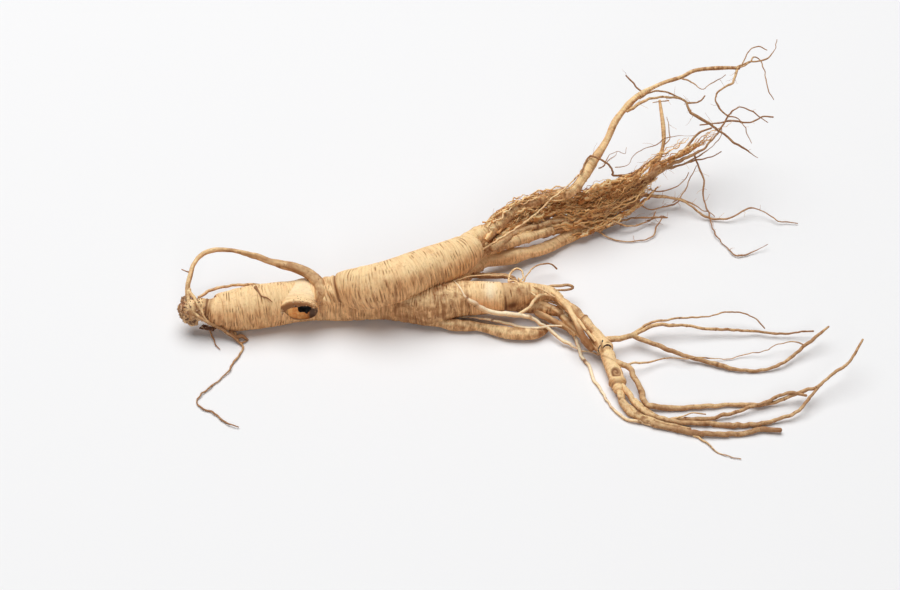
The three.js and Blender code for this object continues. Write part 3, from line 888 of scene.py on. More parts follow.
# ---- Side rootlets -------------------------------------------------------------------------------
# Thin old rootlets, brown and wiry, that leave the stout roots and fork towards their tips. Each is
# a closed tube with knots and kinks of its own, and all are one mesh.
def rootlet(route, girth, tone, seed):
    """A rootlet, drawn finer than its girth where it is thin, with fewer sides the thinner it is."""
    thick = max(girth)
    slim = [radius * min(0.95, 0.6 + 0.22 * radius) for radius in girth]
    sides = 12 if thick > 1.1 else 8 if thick > 0.55 else 6
    return make_limb(
        route, slim, seed, sides=sides, step=0.8 if thick > 0.9 else 1.1, lumps=0.08 + 0.06 * thick,
        rings=0, cuts=0, knots=0.12, front=0.6, back=0.8, tone=tone, wander=0.6, tip_rings=3,
    )


# Each row: the route in millimetres, the radii and the tones from its start to its end
rootlet_rows = [
    # Forks at the tip of the tail
    ([(154, 112, 76), (161, 115, 78), (167, 114, 79), (172, 116, 80), (176, 122, 81), (178, 130, 82)],
     (0.9, 0.55, 0.5, 0.4), (0.6, 0.8)),
    ([(155, 112, 76), (160, 114, 77), (165, 120, 78), (169, 120, 76), (170, 113, 73), (171, 102, 70),
      (174, 97, 66)],
     (0.8, 0.6, 0.45, 0.35), (0.5, 0.8)),
    ([(155, 112, 75), (152, 105, 71), (147, 105, 68), (143, 102, 64), (144, 98, 61), (149, 95, 57),
      (156, 95, 54), (160, 91, 50), (163, 86, 45)], (0.9, 0.6, 0.5, 0.4, 0.35), (0.4, 0.7, 0.8)),
    ([(96, 100, 56), (109, 107, 59), (119, 110, 58), (128, 111, 55), (130, 107, 52), (139, 103, 47),
      (147, 101, 42), (155, 97, 37), (161, 96, 33), (169, 95, 28)],
      (1.2, 0.85, 0.8, 0.8, 1, 0.75, 0.7, 0.6, 0.4), (0.35, 0.6, 0.85, 0.9)),
    ([(125, 114, 68), (132, 113, 66), (137, 109, 64), (143, 112, 66), (150, 117, 68)], (0.6, 0.4, 0.3),
     (0.6, 0.8)),
    ([(158, 115, 77), (163, 123, 80), (168, 126, 80), (172, 123, 80)], (0.4, 0.35, 0.3), (0.6, 0.8)),
    ([(129, 110, 54), (137, 113, 53), (140, 118, 53)], (0.8, 0.6, 0.7), (0.5, 0.8)),
    ([(103, 106, 60), (109, 112, 60), (116, 113, 60), (122, 113, 58), (128, 111, 55)], (0.6, 0.5),
     (0.5, 0.7)),
    ([(106, 110, 61), (104, 112, 61), (100, 115, 64), (96, 119, 66)], (0.7, 0.55, 0.5), (0.7, 0.95)),
    ([(119, 112, 23), (122, 115, 26), (122, 119, 30), (121, 124, 34)], (0.5, 0.4, 0.3), (0.5, 0.7)),
    ([(113, 128, 41), (117, 129, 41), (122, 130, 41)], (0.5, 0.5), (0.6, 0.8)),
    # Long ones that leave the bundle on the right
    ([(104, 86, 9), (115, 84, 9), (126, 84, 8), (134, 80, 5), (141, 75, 2), (148, 74, 1.5), (155, 74, 3),
      (165, 79, 5), (173, 77, 4), (180, 72, 2), (191, 71, 1)], (1.2, 0.9, 0.8, 0.7, 0.6, 0.5, 0.45),
      (0.5, 0.8)),
    ([(136, 106, 21), (140, 94, 14), (140, 85, 8), (142, 77, 3), (144, 63, 2), (150, 51, 1), (156, 43, 1),
      (163, 46, 1), (172, 51, 3)], (0.6, 0.6, 0.55, 0.5, 0.4), (0.7, 0.9)),
    ([(111, 94, 18), (121, 101, 21), (130, 106, 26), (138, 112, 31), (145, 114, 34)],
     (1.5, 1.1, 0.9, 0.8, 0.6), (0.5, 0.6, 0.8)),
    ([(111, 92, 16), (123, 99, 20), (132, 101, 24), (140, 103, 28), (147, 108, 33), (150, 112, 37),
      (154, 117, 41), (161, 121, 43), (167, 119, 42), (176, 115, 37)],
      (1.4, 1.1, 0.9, 0.8, 0.7, 0.6, 0.5, 0.4), (0.5, 0.7, 0.9)),
    ([(139, 118, 33), (148, 116, 36), (157, 114, 39), (165, 110, 41), (172, 113, 42), (178, 112, 43)],
     (0.5, 0.7, 0.6, 0.5), (0.8, 0.9)),
    ([(117, 97, 18), (125, 99, 18), (135, 101, 21), (143, 101, 23), (150, 103, 26)],
     (0.9, 0.7, 0.6, 0.5), (0.6, 0.9)),
    ([(120, 98, 18), (128, 100, 19), (137, 102, 23), (144, 105, 27), (150, 110, 31), (151, 116, 34)],
     (0.7, 0.5, 0.4), (0.6, 0.8)),
    ([(114, 97, 20), (121, 101, 21), (131, 103, 24), (139, 108, 27), (141, 109, 28)], (0.8, 0.6, 0.5),
     (0.5, 0.7)),
    ([(100, 86, 8), (108, 88, 8), (119, 86, 8), (128, 85, 7), (134, 83, 5), (140, 80, 3), (144, 79, 2),
      (146, 77, 1)],
     (0.8, 0.7, 0.5, 0.4), (0.5, 0.8)),
    ([(104, 94, 11), (111, 91, 8), (119, 92, 7), (126, 95, 8), (131, 99, 10), (133, 102, 12)],
     (0.6, 0.5, 0.4), (0.6, 0.8)),
    ([(123, 83, 6), (128, 88, 6), (133, 96, 10), (137, 102, 17)], (0.4, 0.4, 0.35), (0.6, 0.8)),
    ([(84, 68, 8), (91, 65, 7), (98, 65, 4), (105, 69, 3), (110, 72, 3), (113, 76, 5)], (0.9, 0.7, 0.5),
     (0.4, 0.8)),
    ([(108, 71, 3), (114, 72, 4), (116, 71, 6), (119, 70, 6)], (0.5, 0.5, 0.4), (0.8, 0.9)),
    ([(98, 82, 8), (104, 81, 7), (110, 80, 4), (118, 83, 3), (125, 86, 3), (128, 87, 5)], (0.6, 0.5, 0.4),
     (0.5, 0.8)),
    ([(75, 64, 4), (82, 63, 3), (87, 65, 4), (92, 65, 6)], (0.5, 0.4), (0.4, 0.7)),
    ([(75, 66, 4), (85, 60, 1.5), (93, 56, 1), (102, 56, 1), (110, 59, 1.5), (114, 67, 4), (117, 71, 6)],
     (0.6, 0.5, 0.4, 0.4), (0.5, 0.8)),
    # Single ones over the bundle
    ([(9, 20, 22), (16, 24, 22), (23, 29, 23.4), (31, 35, 25), (41, 43, 26), (47, 48, 28), (52, 52, 31),
      (57, 56, 33), (62, 62, 34), (69, 70, 36)], (0.8, 0.7, 0.6, 0.6, 0.5), (0.1, 0.3, 0.2)),
    ([(70, 68, 38), (75, 78, 42), (80, 72, 45), (84, 72, 42), (87, 75, 36), (88, 77, 30), (92, 79, 28),
      (96, 81, 27), (100, 83, 27), (106, 85, 28), (114, 88, 31), (116, 87, 31), (120, 89, 32)],
      (0.7, 0.8, 0.7, 0.6, 0.5), (0.8, 1, 0.9)),
    ([(90, 84, 30), (96, 85, 30), (99, 88, 32), (103, 91, 35), (111, 93, 38), (119, 95, 42),
      (133, 94, 44)],
     (0.5, 0.4, 0.3), (0.7, 0.9)),
    ([(80, 73, 38), (83, 73, 40), (85, 77, 42), (87, 79, 43), (91, 80, 44), (94, 77, 45), (95, 81, 46)],
     (0.5, 0.35, 0.35, 0.3), (0.9, 1)),
    ([(81, 73, 38), (83, 74, 40), (86, 77, 42), (88, 77, 43), (89, 78, 43), (90, 80, 44)], (0.4, 0.3),
     (0.9, 1)),
    ([(22, 29, 19), (26, 32, 19), (35, 45, 17), (49, 51, 16), (57, 56, 15), (66, 59, 13), (70, 59, 11),
      (74, 60, 8), (81, 61, 4), (88, 68, 3), (98, 73, 3), (111, 71, 5), (119, 70, 6)],
     (1.8, 1.7, 1.5, 1.2, 1, 0.9, 0.7, 0.5), (0.3, 0.5, 0.4, 0.6, 0.8)),
    ([(98, 79, 27), (104, 80, 33), (109, 83, 36), (112, 83, 38), (118, 81, 42)], (0.5, 0.4, 0.3),
     (0.7, 0.9)),
    # Round the stout leg
    ([(-8, 8, 8), (-3, 12, 9), (5, 16, 9), (13, 20, 8), (24, 20, 8), (33, 17, 9), (38, 8, 11)],
     (1.8, 1.6, 1.6, 1.5, 1.3), (0.55, 0.65, 0.6)),
    ([(1, 4, 19), (3.2, -1.8, 21.6), (4.8, -5.6, 22), (6.8, -9, 21.3), (9.8, -12, 19.6),
      (12.3, -13.4, 17.7), (16.6, -14, 15), (24, -14.6, 12.8), (31, -14.8, 12), (37, -14.6, 11),
      (43, -15, 9.5), (47, -17, 7.5), (52, -19, 5), (57, -24, 3), (65, -29, 2), (76, -34, 1.4)],
      (0.4, 0.5, 0.5, 0.6, 1.2, 1.5, 1.5, 1.4, 1.4, 1.3, 1.2, 1.1, 1, 1, 0.9, 0.7),
      (-0.9, -0.9, -0.8, -0.6)),
    ([(35, -14.6, 11.6), (40, -11.4, 13), (44.6, -6, 14.6), (49, -3.2, 15), (54, -4, 14.6)],
     (1, 1.1, 1.1), (-0.3, -0.2)),
    ([(6, -9, 4.5), (14.5, -11.5, 6.4), (23.3, -13.8, 6.4), (30, -15.9, 6.2), (36, -17.5, 5.6),
      (44, -18.4, 5.6), (50.6, -17.8, 6), (57.5, -16.6, 5.4)], (0.5, 0.8, 1, 1.1, 1.1, 0.9, 0.7),
      (-0.6, -0.5, -0.8, -0.8)),
    ([(45.4, 6, 12), (54.4, 8.6, 11), (62.5, 10.4, 9.5), (64.6, 9.6, 9), (60.2, 7.4, 9), (56, 6.6, 9.5)],
     (1.2, 1, 0.9, 0.8, 0.7), (0.4, 0.5, 0.85, 0.5)),
    ([(-1, -1, 19.6), (5, 3, 20.6), (12, 4, 21.6), (20, 4.6, 21.4), (28, 5.4, 20.4), (33, 6, 18)],
     (0.5, 0.5, 0.4), (0.3, 0.2)),
    ([(38, 4, 14), (34, 9, 13), (31, 9, 13), (32, 15, 13), (35, 18, 14), (38, 17, 14), (39, 14, 13),
      (37, 8, 15), (39, -1, 17), (44, -6, 17)], (0.7, 0.8, 0.8, 0.7, 0.6), (0, -0.3)),
    ([(38, 7, 13), (39, 12, 12), (40.6, 17, 10.6), (43, 24, 9), (47, 27.4, 8.5), (54.4, 29.2, 7),
      (56.8, 28.6, 5)],
     (0.7, 0.7, 0.6, 0.7), (0.3, 0.4, 1)),
    ([(36, 14, 11), (37, 7, 14), (42, 0, 18), (48, -4, 18), (54, -6, 16)], (0.7, 0.8, 0.8, 0.7),
     (-0.2, 0.2)),
    ([(49, -4, 12), (55, -5, 10), (60, -9, 8), (63, -15, 7)], (0.8, 0.8, 0.7), (0.4, 0.5)),
    # Long pale rootlet in front and the fan that lies on the ground after the knot
    ([(59, -9, 9), (62, -16, 6), (65, -25, 3), (67, -34, 1.6), (71, -44, 1), (74, -54, 1), (78, -65, 1),
      (82, -73, 1), (88, -80, 1.2), (102, -84, 1), (110, -87, 1), (117, -89, 0.8), (124, -94, 0.8),
      (129, -100, 0.6), (135, -104, 0.6), (141, -106, 0.6)],
     (1.2, 1.1, 1, 1, 1, 1, 0.9, 0.9, 0.9, 0.8, 0.7, 0.6, 0.5, 0.4), (-0.7, -0.9, -0.8, -0.3, 0.4, 0.7)),
    ([(84, -57, 4), (86, -70, 2.5), (91, -77, 1.6), (98, -82, 1.5), (108, -86, 1.5), (118, -89, 1.5),
      (127, -90, 1.5), (136, -90, 1.5), (146, -89, 1.5), (154, -87, 1.5), (162, -88, 2)],
     (1.9, 1.7, 1.6, 1.6, 1.5, 1.5, 1.4), (0.2, 0.5, 0.75, 0.6, 0.9)),
    ([(84, -58, 5), (85, -66, 4), (88, -72, 3), (94, -78, 2.5), (101, -82, 2.2), (109, -85, 2.4),
      (118, -87, 2)],
     (1.5, 1.4, 1.2, 1, 0.8), (0.2, 0.4, 0.6)),
    ([(85, -58, 4.4), (91, -68, 3), (95, -74, 2.2), (102, -79, 1.8), (113, -82, 1.5), (129, -83, 1.5),
      (137, -84, 1.4), (149, -84, 1.5), (158, -82, 1.8), (167, -79, 3), (175, -74, 4.6), (179, -69, 6),
      (184, -63, 8)],
     (1.9, 1.7, 1.6, 1.5, 1.4, 1.4, 1.3, 1.2, 1.1, 1, 0.9), (0.2, 0.5, 0.65, 0.6, 0.7)),
    ([(82, -44, 7), (90, -49, 7), (93, -56, 6), (95, -62, 4), (97, -70, 2.6), (103, -72, 1.8),
      (112, -72, 1.5), (126, -71, 1.4), (141, -70, 1.4), (152, -70, 1.5), (160, -69, 2), (170, -67, 4),
      (177, -65, 6), (184, -63, 8), (189, -59, 9.5), (197, -54, 12), (203, -47, 14), (208, -39, 17)],
     (1.9, 1.6, 1.5, 1.6, 1.5, 1.4, 1.4, 1.3, 1.3, 1.2, 1.2, 1.1, 1, 0.9, 0.8, 0.7),
     (0.4, 0.6, 0.45, 0.55, 0.6)),
    ([(92, -68, 3), (98, -75, 2), (105, -80, 2), (115, -80, 1.8), (127, -80, 1.8), (135, -78, 2.2),
      (146, -74, 3), (156, -71, 4), (164, -67, 5), (170, -66, 6), (177, -68, 6)],
     (1.4, 1.3, 1.3, 1.2, 1.1, 1, 0.9, 0.8), (0.4, 0.6, 0.7)),
    ([(77, -31, 8), (82, -29, 8), (86, -28, 7.5), (95, -25, 7)], (2, 1.7, 1.6, 1.6), (0.3, 0.5)),
    ([(93, -25, 7), (100, -19, 8), (109, -16, 9), (123, -14, 9), (135, -13, 9), (144, -11, 10),
      (153, -11, 9), (158, -14, 8), (162, -19, 6)], (1, 0.8, 0.7, 0.7, 0.6, 0.5, 0.4, 0.4),
      (0.4, 0.6, 0.8)),
    ([(93, -25, 7), (102, -21, 8), (109, -18, 8), (122, -18, 7), (133, -18, 5), (149, -18, 4),
      (160, -18, 3), (173, -19, 2.5), (187, -20, 5)], (1.1, 1.1, 1, 0.9, 0.9, 0.8, 0.7), (0.4, 0.5, 0.8)),
    ([(93, -25, 7), (102, -29, 5.6), (111, -33, 4.2), (120, -36, 3), (129, -39, 2.2), (137, -42, 1.6),
      (148, -45, 1.3), (159, -45, 1.3), (169, -41, 2.6), (179, -33, 5), (186, -28, 7), (194, -22, 10)],
     (1.6, 1.4, 1.3, 1.3, 1.3, 1.2, 1.1, 1, 0.9, 0.7), (0.5, 0.65, 0.6, 0.7)),
    ([(84, -49, 7), (87, -48, 7), (92, -45, 6), (99, -43, 4), (104, -41, 3), (108, -39, 3), (119, -39, 4),
      (131, -37, 2.5), (141, -37, 1), (152, -33, 1.5), (159, -33, 3), (168, -30, 5), (176, -30, 7),
      (180, -31, 6)],
     (0.7, 0.6, 0.5, 0.5, 0.4, 0.4), (0.3, 0.5, 0.7)),
    ([(111, -81, 3), (119, -79, 4.5), (126, -80, 5)], (0.5, 0.4), (0.3, 0.5)),
    # Forks of the loop root, and the fine ones round the neck and on the main root
    ([(-135, -4, 19.5), (-134, -10, 18), (-132, -15, 16.5), (-129, -18.5, 14), (-124, -19.5, 10.5),
      (-120, -20, 8), (-115, -21, 5), (-109, -24, 2)], (1.4, 1.1, 1, 1, 1, 1, 0.9),
      (0.35, 0.4, 0.6, 0.8)),
    ([(-135, -5, 19.5), (-132, -9, 19.5), (-129, -14, 18), (-126, -19, 13.5), (-123, -20, 10)],
     (1.3, 1.1, 1, 0.9), (0.3, 0.4)),
    ([(-109, -24, 1.6), (-106, -28, 1), (-110, -38, 1), (-113, -48, 1), (-120, -55, 1), (-126, -66, 1),
      (-123, -72, 1), (-117, -75, 1), (-110, -82, 1), (-104, -85, 1)], (0.8, 0.6, 0.5, 0.5, 0.6, 0.4),
      (0.6, 0.9)),
    ([(-125, -17, 6), (-122, -21, 2), (-120, -26, 0.6), (-118, -29, 0.6)], (0.6, 0.5, 0.4), (0.7, 0.9)),
    ([(-111, -19, 3), (-109, -24, 1), (-106, -24, 1), (-104, -22, 0.8)], (1.0, 0.8, 0.5), (0.7, 0.9)),
    ([(-113, -18, 4), (-112, -20.6, 3), (-109.6, -21.6, 2.4), (-107, -21, 2.4), (-104.6, -22.4, 1.4)],
     (1.3, 1.1, 1.2, 0.7), (0.8, 1)),
    ([(-130, -5, 15), (-124, -1.5, 15.8), (-119, 0.5, 16.5), (-112, 1.5, 17.5), (-105, 2.2, 17.4),
      (-97, 5, 14)],
     (0.9, 1, 0.9, 0.7), (0.4, 0.5)),
    ([(-100, -6, 23), (-98.5, -9, 22.6), (-97, -11.5, 21.6), (-93.6, -12.6, 21), (-91, -14, 19.8)],
     (0.9, 0.45, 0.4, 0.5, 0.3), (0.9, 1)),
    ([(-102, -13, 20), (-104, -15, 18.6), (-108, -16, 17.5), (-113, -16.5, 16), (-118, -16.5, 14.5)],
     (0.7, 0.4, 0.35), (0.5, 0.6)),
    ([(-134, 4, 24), (-136, 4.4, 24.4), (-138.8, 5.3, 25)], (0.7, 0.4, 0.4), (0.5, 0.9)),
]
rootlet_limbs = [rootlet(*row, seed) for seed, row in enumerate(rootlet_rows, start=40)]
rootlet_skin = skin_material("rootlet_skin", 0.5, 0.25, {
    "Ring Length": 0.0013, "Ring Width": 0.0012, "Streaks": 0.9, "Soil": 0.4, "Wear": 0.6,
    "Old": (0.32, 0.15, 0.065, 1), "Warm": (0.86, 0.50, 0.24, 1),
})
rootlets = limb_object("rootlets", rootlet_limbs, rootlet_skin)
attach(rootlets, "root")


# ---- Fibre bundle --------------------------------------------------------------------------------
# Many fibre roots, orange-brown and thin as string, that run from the arm's end between its tail and
# the back root. Each follows one of a few guide lines, strays from it and tapers to its end.
class Arrow(Value):
    """A node's vector, added and subtracted as values are, and scaled by a number."""

    maths_node = "ShaderNodeVectorMath"

    def __mul__(self, factor):
        inputs = {0: self, "Scale": factor}
        return Arrow(add_node(self.tree, self.maths_node, inputs, operation="SCALE").outputs[0])

    def part(self, axis):
        return Value(add_node(self.tree, "ShaderNodeSeparateXYZ", {"Vector": self}).outputs[axis])


MIDDLE_GREY = (0.5, 0.5, 0.5)


def grow(host, tree, name, values):
    """Runs a geometry tree on a host object with these values, and makes the result a plain mesh object."""
    step = host.modifiers.new("grow", "NODES")
    step.node_group = tree
    for socket in tree.interface.items_tree:
        if socket.in_out == "INPUT" and socket.name in values:
            step[socket.identifier] = values[socket.name]
    made = add_object(name, plain_mesh(host, name))
    host.modifiers.remove(step)
    return made


def join_xyz(x, y, z):
    return Arrow(add_node(x.tree, "ShaderNodeCombineXYZ", {"X": x, "Y": y, "Z": z}).outputs[0])


def random_share(number, seed, low=0.0, high=1.0):
    """A random value for each whole number."""
    inputs = {"ID": number, "Seed": seed, 2: low, 3: high}
    return Value(add_node(number.tree, "FunctionNodeRandomValue", inputs, data_type="FLOAT").outputs[1])


def random_arrow(number, seed):
    inputs = {"ID": number, "Seed": seed, 0: (-1, -1, -1), 1: (1, 1, 1)}
    return Arrow(add_node(number.tree, "FunctionNodeRandomValue", inputs,
                          data_type="FLOAT_VECTOR").outputs[0])


def noise_at(place, detail=2.0):
    """Noise at a place, as a value from 0 to 1 and as a vector round zero."""
    inputs = {"Vector": place, "Scale": 1.0, "Detail": detail}
    found = add_node(place.tree, "ShaderNodeTexNoise", inputs).outputs
    return Value(found["Fac"]), Arrow(found["Color"]) - MIDDLE_GREY


def named(tree, name, sort="FLOAT"):
    """What the points of a geometry tree keep under this name."""
    return add_node(tree, "GeometryNodeInputNamedAttribute", {"Name": name}, data_type=sort).outputs[0]


def store(tree, points, name, value, sort="FLOAT"):
    inputs = {"Geometry": points, "Name": name, "Value": value}
    return add_node(tree, "GeometryNodeStoreNamedAttribute", inputs, data_type=sort,
                    domain="POINT").outputs[0]


def above_table(place, least):
    """The place, raised where it would lie lower than this."""
    return join_xyz(place.part("X"), place.part("Y"), place.part("Z").maths("MAXIMUM", least))


def end_tree(tree, shape, material):
    real = add_node(tree, "GeometryNodeRealizeInstances", {"Geometry": shape}).outputs[0]
    painted = add_node(tree, "GeometryNodeSetMaterial",
                       {"Geometry": real, "Material": material}).outputs[0]
    add_node(tree, "NodeGroupOutput", {"Geometry": painted})


def thread_strings(tree, points, place, string, step, radius, sides, grain, tone, crack_and_shade, material):
    """Moves points to their places, threads each string's points together, gives it a round section
    of so many sides, closes its ends, and keeps its grain, tone and cracks for the skin look; in the
    fibre bundle the cracks are painted shade."""
    points = store(tree, points, "grain", grain, "FLOAT_VECTOR")
    for label, value in (("tone", tone), ("crack_and_shade", crack_and_shade), ("thickness", radius)):
        points = store(tree, points, label, value)
    points = add_node(tree, "GeometryNodeSetPosition", {"Geometry": points, "Position": place}).outputs[0]
    threaded = {"Points": points, "Curve Group ID": string, "Weight": step}
    lines = add_node(tree, "GeometryNodePointsToCurves", threaded).outputs[0]
    section = add_node(tree, "GeometryNodeCurvePrimitiveCircle",
                       {"Resolution": sides, "Radius": 1.0}).outputs[0]
    swept = {"Curve": lines, "Profile Curve": section, "Scale": named(tree, "thickness"),
             "Fill Caps": True}
    tubes = add_node(tree, "GeometryNodeCurveToMesh", swept).outputs[0]
    tubes = add_node(tree, "GeometryNodeSetShadeSmooth", {"Geometry": tubes}).outputs[0]
    end_tree(tree, tubes, material)


GEOMETRY = [("Geometry", "Geometry")]
bundle, give = open_group("GeometryNodeTree", "fibre_bundle", [
    ("Geometry", "Geometry", None),
    ("Fibres Per Guide", "Int", 8),
    ("Guides", "Int", 1),
    ("Steps", "Int", 90),
    ("Thickness", "Float", 1.0),
    ("Stray", "Float", 1.0),
    ("Kink", "Float", 1.0),
    ("Latest Start", "Float", 0.3),
    ("Earliest End", "Float", 0.6),
    ("Sides", "Int", 5),
    ("Seed", "Int", 1),
    ("Material", "Material", None),
], GEOMETRY)
steps = give["Steps"]
guide_lines = add_node(bundle, "GeometryNodeMeshToCurve", {"Mesh": give["Geometry"]}).outputs[0]
walked = add_node(bundle, "GeometryNodeSplineParameter").outputs["Length"]
total = give["Guides"] * give["Fibres Per Guide"] * steps
cloud = add_node(bundle, "GeometryNodePoints", {"Count": total}).outputs[0]
index = Value(add_node(bundle, "GeometryNodeInputIndex").outputs[0])
fibre = ((index + 0.5) / steps).maths("FLOOR")
share = (index - fibre * steps) / (steps - 1.0)
guide = ((fibre + 0.5) / give["Fibres Per Guide"]).maths("FLOOR")
start = random_share(fibre, 11) * give["Latest Start"]
end = 1.0 - random_share(fibre, 12) * (1.0 - give["Earliest End"])
factor = start + share * (end - start)


def on_guide(value):
    """What a value is at the guide's point for each fibre step, and that point."""
    inputs = {"Curves": guide_lines, "Factor": factor, "Curve Index": guide, "Value": value}
    found = add_node(bundle, "GeometryNodeSampleCurve", inputs, mode="FACTOR", data_type="FLOAT").outputs
    return Value(found["Value"]), Arrow(found["Position"])


# Each fibre keeps to a lane beside its guide, sways slowly and kinks quickly
distance, line_point = on_guide(walked)
number = fibre + give["Seed"] * 100.0
noise_place = join_xyz(distance * 55.0, number * 7.31, 0.5)
sway = noise_at(noise_place, 1.0)[1] * 3.2
kink = noise_at(noise_place * 4.5)[1] * (give["Kink"] * 0.0028)
shift = (random_arrow(number, 13) * 0.6 + sway) * (on_guide(named(bundle, "spread"))[0] * give["Stray"])

# A few are thick, all taper, and their knobs swell them here and there
thick = random_share(number, 14).maths("POWER", 3.0)
girth = on_guide(named(bundle, "girth"))[0] * give["Thickness"] * (thick * 1.25 + 0.5)
knobs = noise_at(noise_place * 5.5)[0].spread(0.65, 1.7, 0.3, 0.75)
girth = girth * (share.spread(1.0, 0.35) * knobs)
# Fibres that stray below their guide are painted darker, as painted shade inside the bundle
thread_strings(
    bundle, cloud, above_table(line_point + (shift + kink), girth * 1.05), fibre,
    index - fibre * steps, girth, give["Sides"],
    grain=join_xyz(distance, number * 0.013, 0.0), tone=random_share(number, 15, -0.7, 0.9),
    crack_and_shade=(0.0 - shift.part("Z") / 0.006).clamp(0.75), material=give["Material"],
)

# Each guide: the route in millimetres, with how far its fibres stray and how thick they are
bundle_guides = [
    ([(20, 27, 22), (27, 38, 20), (34, 47, 19), (43, 52, 20), (53, 57, 21), (63, 62, 20), (73, 67, 19),
      (84, 71, 19), (95, 76, 21), (105, 83, 23), (113, 88, 26)], (1.2, 2.2, 2.4, 2.4, 1.6),
      (0.8, 0.75, 0.5)),
    ([(19, 29, 18), (29, 39, 16), (40, 48, 15), (51, 54, 15), (63, 59, 14), (74, 63, 14), (85, 69, 14),
      (96, 74, 16), (106, 82, 18), (114, 89, 20)], (1.2, 2.2, 2.4, 2.4, 1.6), (0.85, 0.8, 0.5)),
    ([(24, 33, 24), (31, 46, 22), (39, 55, 21), (49, 61, 22), (58, 63, 22), (69, 67, 22), (82, 73, 22),
      (94, 77, 24), (105, 84, 27), (113, 89, 31)], (1, 2, 2.2, 2.6, 1.8), (0.65, 0.65, 0.4)),
    ([(21, 32, 14), (31, 41, 12), (42, 47, 11), (53, 54, 11), (63, 58, 10), (73, 64, 9), (83, 68, 9),
      (93, 73, 10), (105, 81, 12), (113, 89, 14)], (1, 2, 2.4, 2.4, 1.4), (0.8, 0.7, 0.5)),
    ([(15, 29, 30), (24, 42, 30), (33, 51, 30.6), (44, 58, 30), (57, 62, 31), (66, 64, 33), (74, 70, 36)],
     (0.8, 1.4, 1.8, 2.2, 2), (0.45, 0.4, 0.35)),
    ([(67, 61, 24), (76, 67, 24), (85, 72, 24), (94, 76, 25), (102, 81, 27), (109, 85, 30),
      (115, 90, 33)],
     (1.2, 2.4, 2.4, 1.6), (0.5, 0.5, 0.35)),
    ([(71, 60, 32), (80, 69, 29), (89, 76, 26), (98, 81, 26), (107, 86, 29), (115, 90, 34), (123, 92, 39),
      (131, 95, 43)],
     (0.8, 1.8, 2, 1.6, 1.2), (0.5, 0.4, 0.3)),
    ([(60, 57, 20), (71, 62, 17), (82, 68, 16), (93, 74, 17), (104, 82, 20), (112, 90, 23)],
     (2, 3, 3, 1.6), (0.45, 0.45, 0.35)),
    ([(18, 28, 27), (26, 42, 27), (34, 51, 26), (44, 58, 26), (57, 61, 28), (68, 66, 26), (80, 72, 25),
      (94, 78, 25), (106, 84, 26)], (0.6, 1.8, 2.2, 2.4, 2), (0.6, 0.5, 0.4)),
    ([(62, 53, 12), (72, 60, 10), (82, 67, 9), (93, 76, 11), (104, 86, 14), (112, 95, 19),
      (121, 101, 25)],
     (1.4, 2.4, 2.4, 1.6, 1.2), (0.5, 0.5, 0.35)),
    ([(100, 84, 16), (112, 92, 20), (122, 99, 24), (134, 104, 28), (146, 110, 34), (158, 114, 39)],
     (1.0, 1.2, 1.5, 1.5), (0.5, 0.5, 0.45)),
    ([(13, 28, 17), (24, 43, 14), (35, 55, 14), (44, 60, 15), (54, 63, 15), (65, 66, 15), (76, 70, 15.5),
      (87, 74, 16), (98, 79, 18)], (0.6, 1.8, 2, 2, 1.8), (0.8, 0.75, 0.5)),
    ([(60, 52, 4), (71, 57, 5), (81, 62, 6), (90, 67, 7), (100, 73, 9), (109, 80, 12), (116, 87, 17)],
     (1.2, 1.8, 2, 1.6), (0.6, 0.7, 0.5)),
]


def guide_mesh(name, guides):
    """Guide lines as bare edges, with the stray and girth of their fibres kept on the points, in metres."""
    points = []
    edges = []
    spreads = []
    girths = []
    for route, spread, girth in guides:
        centres, _, (wide, thick) = smooth_route(route, 2 * MM, spread, girth)
        edges += [(len(points) + i, len(points) + i + 1) for i in range(len(centres) - 1)]
        points += centres.tolist()
        spreads += (wide * MM).tolist()
        girths += (thick * MM).tolist()
    mesh = bpy.data.meshes.new(name)
    mesh.from_pydata(points, edges, [])
    for label, values in (("spread", spreads), ("girth", girths)):
        mesh.attributes.new(label, "FLOAT", "POINT").data.foreach_set("value", values)
    return add_object(name, mesh)


fibre_skin = skin_material("fibre_skin", 0.4, 0.15, {
    "Ring Length": 0.004, "Ring Width": 0.004, "Streaks": 0.5, "Soil": 0.15,
    "Old": (0.42, 0.15, 0.038, 1), "Cream": (0.97, 0.68, 0.34, 1), "Warm": (0.92, 0.43, 0.14, 1),
    "Pale": (0.97, 0.76, 0.45, 1), "Brown": (0.30, 0.10, 0.028, 1),
})
guide_object = guide_mesh("bundle_guides", bundle_guides)
fibre_bundle = grow(guide_object, bundle, "fibre_bundle", {
    "Fibres Per Guide": 13, "Guides": len(bundle_guides), "Steps": 90, "Material": fibre_skin, "Seed": 3,
    "Kink": 2.2, "Latest Start": 0.25, "Thickness": 1.15,
})
bpy.data.objects.remove(guide_object)
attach(fibre_bundle, "root")


# ---- Fibre tangle --------------------------------------------------------------------------------
# The finest fibres, short, kinked and matted together where the bundle is thickest. The same growth
# as the bundle, on three short guides with a wide stray.
tangle_guides = [
    ([(58, 58, 22), (66, 62, 22), (78, 67, 22), (90, 74, 23), (102, 82, 25)], (2.5, 4, 4.5, 3.5, 2),
     (0.4, 0.35)),
    ([(64, 60, 17), (74, 65, 15), (84, 70, 15), (95, 77, 17), (106, 86, 20)], (2, 4, 4, 3, 1.5),
     (0.4, 0.35)),
    ([(30, 44, 24), (42, 54, 24), (55, 60, 25), (66, 64, 26), (76, 70, 27)], (1.5, 3, 3, 2.5),
     (0.38, 0.3)),
]
guide_object = guide_mesh("tangle_guides", tangle_guides)
fibre_tangle = grow(guide_object, bundle, "fibre_tangle", {
    "Fibres Per Guide": 60, "Guides": len(tangle_guides), "Steps": 46, "Material": fibre_skin, "Seed": 9,
    "Kink": 3.4, "Sides": 3, "Latest Start": 0.8, "Earliest End": 0.1,
})
bpy.data.objects.remove(guide_object)
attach(fibre_tangle, "root")


